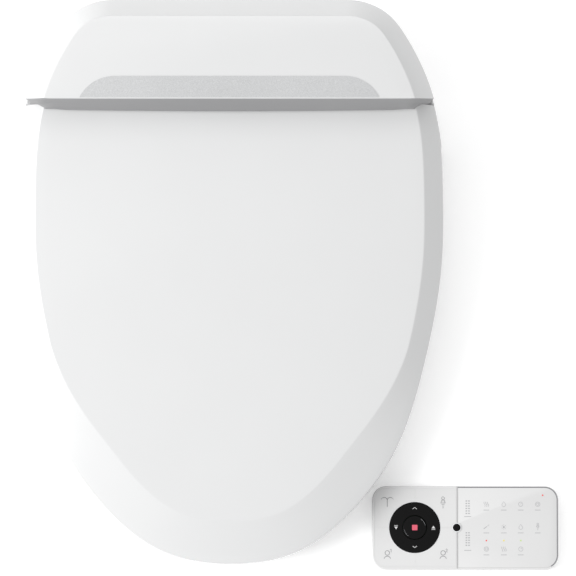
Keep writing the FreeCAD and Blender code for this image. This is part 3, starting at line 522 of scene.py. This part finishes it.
def build_cover(sizes):
    shoulder = level(COVER_SHOULDER, -39)
    rise = shoulder - CASE_TOP_Z
    walls = [(z - CASE_TOP_Z) / rise for z in (CASE_TOP_Z, 70.0, 80.0, 90.0, FOOT_Z)] + [1.0]
    steps = 44
    paths = []
    for wall, band in [(w, 0.0) for w in walls] + [(1.0, 1.0)]:
        inset = BEVEL_SIDE * band
        front_z = FASCIA_TOP[1] if band else CASE_TOP_Z + wall * rise
        start = reach(inset, edge_y(front_z))
        right = []
        for k in range(steps + 1):
            x, y = inset_point(start + (OUTLINE.length - start) * k / steps, inset)
            if k == 0:
                y = edge_y(front_z)
            z = level(COVER_TOP, y)
            if not band:
                z = CASE_TOP_Z + wall * (level(COVER_SHOULDER, y) - CASE_TOP_Z)
            right.append(Vector((x, y, z)))
        paths.append(right + [Vector((-p.x, p.y, p.z)) for p in reversed(right)])
    bm = grid(len(paths[0]), len(paths), lambda i, j: paths[j][i])

    shares = [0.0, 0.012, 0.03, 0.05, 0.07, 0.1, 0.14, 0.2, 0.35, 0.5]
    shares += [1 - f for f in reversed(shares[:-1])]
    ends = [path[0] for path in paths[4:]]
    fronts = 7

    def fascia(i, j):
        """From the top edge down to the lip; both ends turn back to the shell's edge."""
        t = j / (fronts - 1)
        z_end = ends[0].z + (ends[-1].z - ends[0].z) * t
        k = 0 if z_end <= ends[1].z else 1
        u = (z_end - ends[k].z) / (ends[k + 1].z - ends[k].z)
        half_x = ends[k].x + (ends[k + 1].x - ends[k].x) * u
        x = half_x * (2 * shares[i] - 1)
        y0, z0 = lip(x)
        y = y0 + (FASCIA_TOP[0] - y0) * t
        z = z0 + (FASCIA_TOP[1] - z0) * t
        in_from_end = min(1.0, (half_x - abs(x)) / END_TURN)
        blend = math.sqrt(max(0.0, 1 - (1 - in_from_end) ** 2))
        return Vector((x, edge_y(z_end) * (1 - blend) + y * blend, z_end * (1 - blend) + z * blend))

    front = grid(len(shares), fronts, fascia)
    low_half = paths[0][0].x

    def channel(i, j):
        """Under the lip: back round the lid's turn, then down to the lower case."""
        turn = 8
        x = low_half * (2 * shares[i] - 1)
        top = fascia(i, 0)
        if j == turn + 1:
            return Vector((low_half * (2 * shares[i] - 1), CASE_FRONT_Y, CASE_TOP_Z))
        start = math.atan2(top.z - HINGE_Z, top.y - HINGE_Y)
        a = start * (1 - j / turn)
        radius = math.hypot(top.z - HINGE_Z, top.y - HINGE_Y)
        radius += (CHANNEL_R - radius) * j / turn
        return Vector((top.x + (x - top.x) * j / turn, HINGE_Y + radius * math.cos(a),
                       HINGE_Z + radius * math.sin(a)))

    under = grid(len(shares), 10, channel)
    join(bm, front)
    join(bm, under)
    tidy_surface(bm)
    high = [
        e for e in bm.edges if e.is_boundary
        and all(v.co.z > 120 and v.co.y > -41 for v in e.verts)
    ]
    bmesh.ops.contextual_create(bm, geom=high)
    tidy_surface(bm)
    face_up(bm)
    edges = crease_edges(bm, 14, lambda c: c.z > 103 and c.y > -41)
    soften(bm, edges, sizes.cover_edge * 1000, 4)
    thicken(bm, COVER_WALL)
    # Fascia faces behind the lid take the second slot: a grey darker than the front's own, painted shade for
    # the groove
    for f in bm.faces:
        middle = f.calc_center_median()
        if f.normal.y < -0.3 and middle.y < -38.8 and middle.z < 129.2:
            f.material_index = 1
    white = FINISHES["white_gloss"]
    piece = new_piece("housing_cover", bm, white, "main_unit", ("top_cover",))
    piece.data.materials.append(FINISHES["groove_grey"])
    return piece


# ---------------------------------------------------------------- seat ring
def build_ring(sizes):
    rear, inset = -80.0, 2.5
    centre_y = (HALF_OPENING[0][1] + HALF_OPENING[-1][1]) / 2
    end = reach(inset, rear)
    backs = 28

    def outer(extra):
        stop = reach(inset + extra, rear - extra * 0.6)
        right = [inset_point(stop * k / RING_SIDE_STEPS, inset + extra) for k in range(RING_SIDE_STEPS + 1)]
        x_end, y_end = right[-1]
        back = [(x_end * (1 - 2 * k / backs), y_end) for k in range(1, backs)]
        return right + back + [(-x, y) for x, y in reversed(right[1:])]

    def inner(grow, like):
        points = []
        table = [OPENING.at(OPENING.length * k / 200)[0] for k in range(201)]
        angles = np.array([math.atan2(p[0], -(p[1] - centre_y)) for p in table])
        xs, ys = np.array([p[0] for p in table]), np.array([p[1] for p in table])
        for x, y in like:
            a = math.atan2(abs(x), -(y - centre_y))
            px, py = float(np.interp(a, angles, xs)), float(np.interp(a, angles, ys))
            distance = math.hypot(px, py - centre_y)
            scale = (distance + grow) / distance
            points.append((math.copysign(px * scale, x), centre_y + (py - centre_y) * scale))
        return points

    def low(x, y):
        return 41.2 if abs(x) < 58.5 and y > -166 else 20.0

    like = outer(0.0)
    edge = 9.0
    sections = [(like, None)]
    for k in range(7):
        a = math.radians(90 * k / 6)
        sections.append((outer(edge * (1 - math.cos(a))), -edge * (1 - math.sin(a))))
    outer_top, inner_top = outer(edge), inner(edge, like)
    for t in (0.2, 0.4, 0.6, 0.8):
        middle = [
            ((1 - t) * a[0] + t * b[0], (1 - t) * a[1] + t * b[1]) for a, b in zip(outer_top, inner_top)
        ]
        sections.append((middle, sizes.ring_crown * 1000 * math.sin(math.pi * t) - 1.6 * t * t))
    for k in range(7):
        a = math.radians(90 * (1 - k / 6))
        sections.append((inner(edge * (1 - math.cos(a)), like), -1.6 - (edge - 1.6) * (1 - math.sin(a))))
    sections.append((inner(0.0, like), None))

    bm = bmesh.new()
    bmesh.ops.create_circle(bm, segments=len(like), radius=1)
    bm.verts.ensure_lookup_table()
    ring = list(bm.verts)

    def place(verts, section):
        points, drop = section
        for v, (x, y) in zip(verts, points):
            v.co = (x, y, low(x, y) if drop is None else level(RING_TOP, y) + drop)

    place(ring, sections[0])
    edges = bm.edges[:]
    for section in sections[1:]:
        grown = bmesh.ops.extrude_edge_only(bm, edges=edges)["geom"]
        fresh = {g for g in grown if isinstance(g, bmesh.types.BMVert)}
        edges = [g for g in grown if isinstance(g, bmesh.types.BMEdge) and all(v in fresh for v in g.verts)]
        ring = [next(e.other_vert(v) for e in v.link_edges if e.other_vert(v) in fresh) for v in ring]
        place(ring, section)
    tidy_surface(bm)
    thicken(bm, 2.2)
    return new_piece(
        "seat_ring_top", bm, FINISHES["white_gloss"], "seat_ring", ("seat_top_shell",),
    )


# ---------------------------------------------------------------- remote
REMOTE_HALF = (86.0, 38.5)
REMOTE_CORNER = 13.0
FACE_TOP = 18.0
RIGHT_TOP = 17.2
PAD_X = -46.7
PAD_R, STOP_R = 23.6, 10.9
LENS_X = -8.0
LENS_HOLE_R = 4.4
PRINT = 0.07
REMOTE_RIM = 2.2
FIELD_EDGE_X = -8.6
FIELD_X = (REMOTE_RIM - REMOTE_HALF[0] + FIELD_EDGE_X) / 2
PANEL_RIM = 1.3
PANEL_EDGE_X = -7.0
KEY_GAP = 0.06


def remote_centre():
    low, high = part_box("remote_back_case")
    return (low[0] + high[0]) / 2 / MM, (low[1] + high[1]) / 2 / MM


def moved(bm, dx, dy, dz=0.0):
    bmesh.ops.translate(bm, vec=(dx, dy, dz), verts=bm.verts)
    return bm


def on_remote(name, bm, material, body, replaces=(), sharp=32.0):
    cx, cy = remote_centre()
    return new_piece(name, moved(bm, cx, cy), FINISHES[material], body, replaces, sharp)


def box_plan(x0, x1, y0, y1):
    return [(x1, y1), (x0, y1), (x0, y0), (x1, y0)]


def ribbon(points, width, z, closed=False):
    """A thin printed stroke along plan points."""
    bm = bmesh.new()
    path = [Vector((x, y, 0)) for x, y in points]
    count = len(path)
    frames = []
    for k, p in enumerate(path):
        before = path[(k - 1) % count] if closed or k else p
        after = path[(k + 1) % count] if closed or k < count - 1 else p
        along = (after - before).normalized()
        frames.append((p, Vector((-along.y, along.x, 0)) * width / 2))
    p, side = frames[0]
    a, b = bm.verts.new(p + side), bm.verts.new(p - side)
    edge = bm.edges.new((a, b))
    for p, side in frames[1:] + (frames[:1] if closed else []):
        grown = bmesh.ops.extrude_edge_only(bm, edges=[edge])["geom"]
        fresh = {g for g in grown if isinstance(g, bmesh.types.BMVert)}
        a, b = (next(e.other_vert(v) for e in v.link_edges if e.other_vert(v) in fresh) for v in (a, b))
        a.co, b.co = p + side, p - side
        edge = next(e for e in a.link_edges if e.other_vert(a) is b)
    bmesh.ops.remove_doubles(bm, verts=bm.verts, dist=0.001)
    return raised(bm, z)


def raised(bm, z):
    """Gives a flat print its small height and puts it at z."""
    grown = bmesh.ops.extrude_face_region(bm, geom=bm.faces[:])["geom"]
    bmesh.ops.translate(bm, vec=(0, 0, PRINT), verts=[g for g in grown if isinstance(g, bmesh.types.BMVert)])
    bmesh.ops.recalc_face_normals(bm, faces=bm.faces)
    return moved(bm, 0, 0, z)


def spot(radius, x, y, z, steps=24):
    return prism(disc_plan(radius, x, y, steps), z, z + PRINT)


def arc(cx, cy, radius, start, end, steps=12):
    span = [math.radians(start + (end - start) * k / steps) for k in range(steps + 1)]
    return [(cx + radius * math.cos(a), cy + radius * math.sin(a)) for a in span]


def merged(parts):
    whole = parts[0]
    for part in parts[1:]:
        join(whole, part)
    return whole


def fountain(x, y, z):
    """A jet that parts to both sides."""
    return [
        ribbon([(x, y - 4.2), (x, y + 2.0)], 0.5, z),
        ribbon(arc(x - 2.6, y + 1.8, 2.6, 0, 90) + [(x - 4.6, y + 4.0)], 0.5, z),
        ribbon(arc(x + 2.6, y + 1.8, 2.6, 180, 90) + [(x + 4.6, y + 4.0)], 0.5, z),
        ribbon([(x - 5.6, y + 2.7), (x - 4.9, y + 3.7)], 0.4, z),
        ribbon([(x + 5.6, y + 2.7), (x + 4.9, y + 3.7)], 0.4, z),
    ]


def figure(x, y, z, size=1.0):
    """A standing figure over a jet."""
    head = y + 3.7 * size
    return [
        ribbon(arc(x, head, 1.3 * size, 0, 345, 14), 0.4, z, closed=True),
        ribbon([(x - 2.1 * size, y - 0.9 * size), (x - 1.3 * size, y + 1.8 * size),
                (x + 1.3 * size, y + 1.8 * size), (x + 2.1 * size, y - 0.9 * size)], 0.42, z),
        ribbon([(x - 0.9 * size, y + 0.6 * size), (x - 0.9 * size, y - 2.4 * size),
                (x + 0.9 * size, y - 2.4 * size), (x + 0.9 * size, y + 0.6 * size)], 0.42, z),
        ribbon([(x, y - 3.2 * size), (x, y - 5.6 * size)], 0.4, z),
    ]


def user(x, y, z, number):
    """Head and shoulders beside a small number, for a saved setting."""
    parts = [
        ribbon(arc(x, y + 1.6, 2.1, 0, 345, 18), 0.45, z, closed=True),
        ribbon(arc(x, y - 4.4, 3.0, 168, 12, 14), 0.45, z),
    ]
    left, top = x + 3.2, y + 5.2
    if number == 1:
        parts.append(ribbon([(left - 0.5, top - 0.6), (left + 0.3, top), (left + 0.3, top - 3.0)], 0.4, z))
    else:
        parts.append(ribbon([(left - 0.7, top - 0.5), (left, top), (left + 0.8, top - 0.7),
                             (left - 0.7, top - 2.8), (left + 1.0, top - 2.8)], 0.4, z))
    return parts


def small_icons(z):
    """Two level meters and a grid of small pictures on the right-hand half."""
    parts = []
    for top in (24.6, -4.8):
        for row in range(6):
            for column in (0.9, 3.3):
                parts.append(prism(rounded_plan(0.75, 0.5, 0.2, column, top - row * 2.3, 3), z, z + PRINT))
    columns, rows = (19.3, 35.4, 51.0, 66.7), (21.6, 0.5, -19.8)

    def waves(x, y):
        return [ribbon([(x + dx + 0.6 * math.sin(t * 1.3), y - 2.2 + t) for t in np.linspace(0, 4.4, 10)],
                       0.35, z) for dx in (-1.6, 0, 1.6)]

    def drop(x, y):
        outline = [(x, y + 2.6)] + arc(x, y - 0.5, 1.7, 35, -215, 16)
        return [ribbon(outline, 0.35, z, closed=True)]

    def dial(x, y):
        rim = ribbon(arc(x, y, 2.0, 0, 345, 20), 0.35, z, closed=True)
        return [rim, ribbon([(x, y), (x + 0.9, y + 1.0)], 0.35, z)]

    def rays(x, y):
        sun = [spot(0.9, x, y, z, 16)]
        for k in range(8):
            c, s = math.cos(k * math.pi / 4), math.sin(k * math.pi / 4)
            sun.append(ribbon([(x + 1.5 * c, y + 1.5 * s), (x + 2.4 * c, y + 2.4 * s)], 0.3, z))
        return sun

    def seat(x, y):
        return [ribbon(arc(x, y, 2.1, 0, 345, 20), 0.35, z, closed=True),
                ribbon(arc(x, y, 1.1, 0, 345, 16), 0.3, z, closed=True)]

    def wand(x, y):
        return [ribbon([(x - 2.4, y - 1.6), (x + 0.6, y + 0.6)], 0.6, z),
                spot(0.35, x + 1.5, y + 1.2, z, 10), spot(0.35, x + 2.3, y + 1.9, z, 10)]

    def person(x, y):
        return figure(x, y + 0.6, z, 0.6)

    order = ((waves, drop, dial, seat), (wand, rays, drop, person), (seat, waves, dial))
    for y, kinds in zip(rows, order):
        for x, kind in zip(columns, kinds):
            parts += kind(x, y)
            parts.append(ribbon([(x - 2.6, y - 5.4), (x + 2.6, y - 5.4)], 0.5, z))
    for x, y in ((2.1, 10.2), (2.1, -21.0)):
        parts.append(ribbon([(x - 3.2, y), (x + 3.2, y)], 0.5, z))
    return parts


def half_field(rim, edge_x, side):
    """Plan of one half of the remote's face inside its rim: square at edge_x, round at its far corners."""
    radius, x1, y1 = REMOTE_CORNER - rim, REMOTE_HALF[0] - rim, REMOTE_HALF[1] - rim
    far = arc(x1 - radius, y1 - radius, radius, 90, 0, 10) + arc(x1 - radius, radius - y1, radius, 0, -90, 10)
    near = side * edge_x
    plan = [(near, y1)] + far + [(near, -y1)]
    return [(side * x, y) for x, y in plan][::-side]


def build_seam_shadow():
    """The dark line where the panel meets the case, along its top and its far end: a printed stroke that
    paints in the joint's shadow.
    """
    radius, x1, y1 = REMOTE_CORNER - PANEL_RIM, REMOTE_HALF[0] - PANEL_RIM, REMOTE_HALF[1] - PANEL_RIM
    line = [(PANEL_EDGE_X, y1), (20, y1)] + arc(x1 - radius, y1 - radius, radius, 90, 0, 12)
    line += arc(x1 - radius, radius - y1, radius, 0, -60, 9)
    on_remote("panel_seam_shadow", ribbon(line, 0.9, RIGHT_TOP + 0.05), "key_print", "remote")


def build_remote_case():
    half_x, half_y = REMOTE_HALF
    bm = prism(rounded_plan(half_x, half_y, REMOTE_CORNER), 1, 12, low_edge=3.0)
    inside = cutter(rounded_plan(half_x - 2, half_y - 2, REMOTE_CORNER - 2), 3, 14)
    door = cutter(box_plan(4, 62, -14, 14), -1, 4)
    bm = cut(bm, inside, door)
    on_remote("remote_case", bm, "remote_white", "remote", ("remote_back_case",))

    bm = prism(rounded_plan(half_x, half_y, REMOTE_CORNER), 12, FACE_TOP, edge=0.9)
    blocks = [
        cutter(rounded_plan(half_x - 2, half_y - 2, REMOTE_CORNER - 2), 11, 15),
        cutter(half_field(REMOTE_RIM, FIELD_EDGE_X, -1), 14, 30),
        cutter(box_plan(-8.0, 200, -100, 100), RIGHT_TOP, 30),
        cutter(disc_plan(3.6, LENS_X, 0, 48), 11, 30),
        cutter(half_field(PANEL_RIM, PANEL_EDGE_X, 1), RIGHT_TOP - 0.8, 30),
    ]
    bm = cut(bm, *blocks)
    on_remote("remote_face_frame", bm, "remote_white", "remote", ("remote_face",))

    # painted shadow line along the panel's top and far end
    build_seam_shadow()
    panel = half_field(PANEL_RIM + 0.12, PANEL_EDGE_X + 0.12, 1)
    bm = prism(panel, RIGHT_TOP - 0.75, RIGHT_TOP + 0.1, edge=0.12, segments=2)
    bm = cut(bm, cutter(disc_plan(LENS_HOLE_R, LENS_X, 0, 48), 11, 30))
    on_remote("remote_panel", bm, "remote_white", "remote", ("keypad_overlay",))
    on_remote("remote_pictures", merged(small_icons(RIGHT_TOP + 0.1)), "print_grey", "remote")
    lamps = (("lamp_red", 71.3, 29.9), ("lamp_red", 19.3, -12.0), ("lamp_yellow", 35.4, -12.0),
             ("lamp_green", 51.0, -12.0))
    for k, (colour, x, y) in enumerate(lamps):
        on_remote("remote_lamp_%d" % (k + 1), spot(0.75, x, y, RIGHT_TOP + 0.1), colour, "remote")

    bm = prism(disc_plan(3.4, LENS_X, 0, 40), 14, FACE_TOP + 0.5, edge=0.7)
    halo = prism(disc_plan(4.3, LENS_X, 0, 64), RIGHT_TOP - 0.6, FACE_TOP + 0.08, edge=0.25, segments=2)
    halo = cut(halo, cutter(disc_plan(3.6, LENS_X, 0, 48), 11, 30))
    on_remote("lens_surround", halo, "lens_clear", "remote")
    on_remote("infrared_lens", bm, "black_gloss", "remote", ("remote_lens",))


def build_remote_keys():
    corners = {"key_fr": (1, -1), "key_fl": (-1, -1), "key_br": (1, 1), "key_bl": (-1, 1)}
    nodes = {"key_fr": "key_front_right", "key_fl": "key_front_left",
             "key_br": "key_back_right", "key_bl": "key_back_left"}
    for body, (sx, sy) in corners.items():
        x0, x1 = sorted((FIELD_X + sx * KEY_GAP / 2, FIELD_X - sx * 60))
        y0, y1 = sorted((sy * KEY_GAP / 2, -sy * 60))
        field = half_field(REMOTE_RIM + KEY_GAP, FIELD_EDGE_X - KEY_GAP, -1)
        bm = cut(
            prism(field, 14.6, FACE_TOP + 0.02),
            cutter(box_plan(x0, x1, -99, 99), 10, 30), cutter(box_plan(-300, 300, y0, y1), 10, 30),
            cutter(disc_plan(PAD_R + 0.35, PAD_X, 0, 96), 10, 30),
            cutter(disc_plan(LENS_HOLE_R, LENS_X, 0, 48), 10, 30),
        )
        on_remote(nodes[body] + "_cap", bm, "remote_white", body, (nodes[body],))
        z = FACE_TOP + 0.05
        x, y = (-72.0 if sx < 0 else -20.6), (23.4 if sy > 0 else -25.0)
        if sy > 0:
            marks = fountain(x, y, z) if sx < 0 else figure(x, y, z)
        else:
            marks = user(x, y, z, 1 if sx < 0 else 2)
        on_remote(nodes[body] + "_mark", merged(marks), "key_print", body)


def build_remote_pad():
    top = FACE_TOP + 0.45
    bm = prism(disc_plan(PAD_R, PAD_X, 0, 96), 13.6, top, edge=0.8, segments=5)
    bm = cut(bm, cutter(disc_plan(STOP_R + 0.5, PAD_X, 0, 72), 10, 30))
    on_remote("direction_pad", bm, "black_gloss", "ring_key", ("direction_ring",))
    marks = []
    for sign in (1, -1):
        tip = sign * 18.6
        marks.append(ribbon([(PAD_X - 1.9, tip - sign * 1.5), (PAD_X, tip), (PAD_X + 1.9, tip - sign * 1.5)],
                            0.55, top))
        x = PAD_X + sign * 17.2
        marks.append(prism([(x - 1.7, -sign * 0.9), (x + 1.7, -sign * 0.9), (x, sign * 1.7)][::sign], top,
                           top + PRINT))
        marks.append(ribbon([(x - 1.7, -sign * 1.9), (x + 1.7, -sign * 1.9)], 0.45, top))
    on_remote("direction_marks", merged(marks), "print_white", "ring_key")
    bm = prism(disc_plan(STOP_R, PAD_X, 0, 72), 14.6, FACE_TOP + 0.25, edge=0.7, segments=5)
    on_remote("stop_cap", bm, "black_gloss", "stop_key", ("stop_button",))
    bm = prism(rounded_plan(2.5, 2.5, 0.6, PAD_X, 0, 3), FACE_TOP + 0.25, FACE_TOP + 0.25 + PRINT)
    on_remote("stop_mark", bm, "stop_red", "stop_key")
    z = FACE_TOP + 0.25
    # Painted highlights: two grey arcs near the black stop cap's rim stand in for its reflection
    painted_glints = [ribbon(arc(PAD_X, 0, STOP_R - 1.1, a, a + 42, 10), 0.22, z) for a in (12, 192)]
    on_remote("stop_painted_glints", merged(painted_glints), "grey_plastic", "stop_key")
    halo = prism(disc_plan(PAD_R + 0.32, PAD_X, 0, 96), FACE_TOP - 1.5, FACE_TOP + 0.1)
    halo = cut(halo, cutter(disc_plan(PAD_R + 0.04, PAD_X, 0, 96), 10, 30))
    on_remote("pad_ring", halo, "lens_clear", "remote")


# ---------------------------------------------------------------- parts kept from the frame
def dress_frame_parts():
    """Gives every part of the frame its finish and even shading across its smooth faces."""
    slots = {s["node"]: s["material_slot"] for s in frame["record"]["subparts"]}
    for name, part in frame["nodes"].items():
        material = FINISHES[slots[name]]
        if part.material_slots:
            for holder in part.material_slots:
                holder.material = material
        else:
            part.data.materials.append(material)
        part.data.polygons.foreach_set("use_smooth", [True] * len(part.data.polygons))
        weld = part.modifiers.new("weld", "WELD")
        weld.merge_threshold = 0.00001
        split = part.modifiers.new("edges", "EDGE_SPLIT")
        split.split_angle = math.radians(30)


# ---------------------------------------------------------------- studio
def soft_light(name, place, aim, size, power, colour=(1, 1, 1)):
    data = bpy.data.lights.new(name, "AREA")
    data.shape, data.size, data.size_y = "RECTANGLE", size[0], size[1]
    data.energy, data.color = power, colour
    lamp = bpy.data.objects.new(name, data)
    lamp.location = place
    lamp.rotation_euler = (Vector(aim) - Vector(place)).to_track_quat("-Z", "Y").to_euler()
    bpy.context.scene.collection.objects.link(lamp)


def build_stage(settings):
    scene = bpy.context.scene
    bm = bmesh.new()
    bmesh.ops.create_grid(bm, x_segments=8, y_segments=8, size=6)
    mesh = bpy.data.meshes.new("floor")
    bm.to_mesh(mesh)
    bm.free()
    floor = bpy.data.objects.new("floor", mesh)
    paint = (settings.floor,) * 3
    mesh.materials.append(finish("floor_paint", paint, 0.7, vary=0.0, bump=0.0, glow=settings.floor_glow))
    scene.collection.objects.link(floor)

    world = bpy.data.worlds.new("studio")
    scene.world = world
    world.use_nodes = True
    sky = world.node_tree.nodes["Background"]
    sky.inputs["Color"].default_value = (1, 1, 1, 1)
    sky.inputs["Strength"].default_value = settings.ambient
    scene.view_settings.view_transform = "Standard"

    aim = (0, -0.2, 0.05)
    soft_light("key_left", (-2.1, -0.5, 1.7), aim, (1.6, 2.4), settings.key)
    soft_light("top_back", (0.1, 1.5, 2.2), aim, (2.2, 1.0), settings.back)
    soft_light("front_fill", (0.2, -1.6, 0.9), (0.15, -0.42, 0.02), (1.2, 0.8), settings.fill)

    data = bpy.data.cameras.new("camera")
    data.lens, data.sensor_width = settings.lens, 36.0
    camera = bpy.data.objects.new("camera", data)
    elevation = settings.elevation
    back = Vector((0, -math.cos(elevation), math.sin(elevation)))
    up = Vector((0, math.sin(elevation), math.cos(elevation)))
    target = Vector((settings.centre_x, 0, 0)) + up * settings.centre_v + back * settings.focus_height
    camera.location = target + back * (settings.frame_width * data.lens / data.sensor_width)
    camera.rotation_euler = (-back).to_track_quat("-Z", "Y").to_euler()
    data.clip_start, data.clip_end = 0.1, 50.0
    scene.collection.objects.link(camera)
    scene.camera = camera


# ---------------------------------------------------------------- settings
class BidetSizes(bpy.types.PropertyGroup):
    """Sizes of the visible shells."""
    lid_wall: bpy.props.FloatProperty(
        name="Lid wall", description="Thickness of the lid's shell", default=0.0026,
        min=0.001, max=0.005, subtype="DISTANCE", unit="LENGTH")
    lid_edge: bpy.props.FloatProperty(
        name="Lid edge", description="Width of the rounding along the lid's edges", default=0.0010,
        min=0.0, max=0.005, subtype="DISTANCE", unit="LENGTH")
    crown: bpy.props.FloatProperty(
        name="Lid crown", description="Rise of the lid's top in its middle", default=0.0022,
        min=0.0, max=0.006, subtype="DISTANCE", unit="LENGTH")
    cover_edge: bpy.props.FloatProperty(
        name="Cover edge", description="Width of the rounding along the housing's edges", default=0.0009,
        min=0.0, max=0.004, subtype="DISTANCE", unit="LENGTH")
    ring_crown: bpy.props.FloatProperty(
        name="Ring crown", description="Rise of the seat ring between its edges", default=0.0008,
        min=0.0, max=0.004, subtype="DISTANCE", unit="LENGTH")


class BidetColours(bpy.types.PropertyGroup):
    """Colours of the moulded parts."""
    white: bpy.props.FloatVectorProperty(
        name="White", description="Glossy white of the lid and housing", subtype="COLOR",
        default=(0.595, 0.598, 0.60), min=0, max=1)
    panel: bpy.props.FloatVectorProperty(
        name="Panel", description="Grey of the textured panel", subtype="COLOR",
        default=(0.49, 0.495, 0.50), min=0, max=1)
    # Darkened beyond the front's own grey to stand in for the shade in the groove behind the lid
    groove: bpy.props.FloatVectorProperty(
        name="Groove", description="Grey of the housing's front, behind the lid", subtype="COLOR",
        default=(0.27, 0.27, 0.275), min=0, max=1)
    remote: bpy.props.FloatVectorProperty(
        name="Remote", description="White of the remote", subtype="COLOR",
        default=(0.62, 0.62, 0.62), min=0, max=1)


class BidetStudio(bpy.types.PropertyGroup):
    """Lights, floor and camera."""
    floor: bpy.props.FloatProperty(
        name="Floor", description="Brightness of the floor", default=0.97, min=0, max=1)
    fill: bpy.props.FloatProperty(
        name="Front fill", description="Power of the soft light in front", default=1.2, min=0, max=100,
        subtype="POWER", unit="POWER")
    floor_glow: bpy.props.FloatProperty(
        name="Floor glow", description="Light that the floor gives off, as a lit table does", default=0.22,
        min=0, max=2)
    ambient: bpy.props.FloatProperty(
        name="Ambient", description="Strength of the even light from all round", default=0.73, min=0, max=4)
    key: bpy.props.FloatProperty(
        name="Key light", description="Power of the softbox on the left", default=73.0, min=0, max=500,
        subtype="POWER", unit="POWER")
    back: bpy.props.FloatProperty(
        name="Back light", description="Power of the softbox behind", default=12.0, min=0, max=500,
        subtype="POWER", unit="POWER")
    lens: bpy.props.FloatProperty(
        name="Lens", description="Focal length in millimetres", default=500.0, min=20, max=800)
    elevation: bpy.props.FloatProperty(
        name="Elevation", description="Camera's angle above the floor", default=math.radians(84),
        subtype="ANGLE", unit="ROTATION")
    centre_x: bpy.props.FloatProperty(
        name="Centre X", description="Middle of the view from left to right", default=0.0535,
        subtype="DISTANCE", unit="LENGTH")
    centre_v: bpy.props.FloatProperty(
        name="Centre along the view", description="Middle of the view from front to back", default=-0.2000,
        subtype="DISTANCE", unit="LENGTH")
    focus_height: bpy.props.FloatProperty(
        name="Scale height", description="Height at which the frame's width is measured", default=0.08,
        subtype="DISTANCE", unit="LENGTH")
    frame_width: bpy.props.FloatProperty(
        name="Frame width", description="Width of the view at the scale height", default=0.5296,
        subtype="DISTANCE", unit="LENGTH")


# ---------------------------------------------------------------- operators
class BIDET_OT_finishes(bpy.types.Operator):
    """Make the finishes that every piece uses"""
    bl_idname = "bidet.finishes"
    bl_label = "Finishes"

    def execute(self, context):
        make_finishes(context.scene.bidet_colours)
        return {"FINISHED"}


class BIDET_OT_lid(bpy.types.Operator):
    """Build the closing lid"""
    bl_idname = "bidet.lid"
    bl_label = "Lid"

    def execute(self, context):
        build_lid(context.scene.bidet_sizes)
        return {"FINISHED"}


class BIDET_OT_cover(bpy.types.Operator):
    """Build the cover of the rear housing"""
    bl_idname = "bidet.cover"
    bl_label = "Housing cover"

    def execute(self, context):
        build_cover(context.scene.bidet_sizes)
        return {"FINISHED"}


class BIDET_OT_ring(bpy.types.Operator):
    """Build the top of the seat ring"""
    bl_idname = "bidet.ring"
    bl_label = "Seat ring"

    def execute(self, context):
        build_ring(context.scene.bidet_sizes)
        return {"FINISHED"}


class BIDET_OT_remote_case(bpy.types.Operator):
    """Build the remote's case, face and prints"""
    bl_idname = "bidet.remote_case"
    bl_label = "Remote case"

    def execute(self, context):
        build_remote_case()
        return {"FINISHED"}


class BIDET_OT_remote_keys(bpy.types.Operator):
    """Build the remote's four corner keys"""
    bl_idname = "bidet.remote_keys"
    bl_label = "Remote keys"

    def execute(self, context):
        build_remote_keys()
        return {"FINISHED"}


class BIDET_OT_remote_pad(bpy.types.Operator):
    """Build the remote's round control and its stop button"""
    bl_idname = "bidet.remote_pad"
    bl_label = "Remote pad"

    def execute(self, context):
        build_remote_pad()
        return {"FINISHED"}


class BIDET_OT_frame_parts(bpy.types.Operator):
    """Finish the parts that are kept from the frame"""
    bl_idname = "bidet.frame_parts"
    bl_label = "Frame parts"

    def execute(self, context):
        dress_frame_parts()
        return {"FINISHED"}


class BIDET_OT_stage(bpy.types.Operator):
    """Set up the floor, lights and camera"""
    bl_idname = "bidet.stage"
    bl_label = "Stage"

    def execute(self, context):
        build_stage(context.scene.bidet_studio)
        return {"FINISHED"}


class BIDET_PT_panel(bpy.types.Panel):
    """Lists the steps and settings"""
    bl_idname = "BIDET_PT_panel"
    bl_label = "Bidet Seat"
    bl_space_type = "VIEW_3D"
    bl_region_type = "UI"
    bl_category = "Bidet Seat"

    def draw(self, context):
        for step in STEPS:
            self.layout.operator(step.bl_idname)
        for group in GROUPS:
            settings = getattr(context.scene, group)
            for name in settings.__annotations__:
                self.layout.prop(settings, name)


STEPS = (
    BIDET_OT_finishes, BIDET_OT_lid, BIDET_OT_cover, BIDET_OT_ring, BIDET_OT_remote_case,
    BIDET_OT_remote_keys, BIDET_OT_remote_pad, BIDET_OT_frame_parts, BIDET_OT_stage,
)
GROUPS = {"bidet_sizes": BidetSizes, "bidet_colours": BidetColours, "bidet_studio": BidetStudio}


def register():
    for group in (*GROUPS.values(), *STEPS, BIDET_PT_panel):
        bpy.utils.register_class(group)
    for name, group in GROUPS.items():
        setattr(bpy.types.Scene, name, bpy.props.PointerProperty(type=group))


def unregister():
    for name in GROUPS:
        delattr(bpy.types.Scene, name)
    for group in reversed((*GROUPS.values(), *STEPS, BIDET_PT_panel)):
        bpy.utils.unregister_class(group)


def main():
    register()
    for step in STEPS:
        area, name = step.bl_idname.split(".")
        getattr(getattr(bpy.ops, area), name)()


if __name__ == "__main__":
    main()
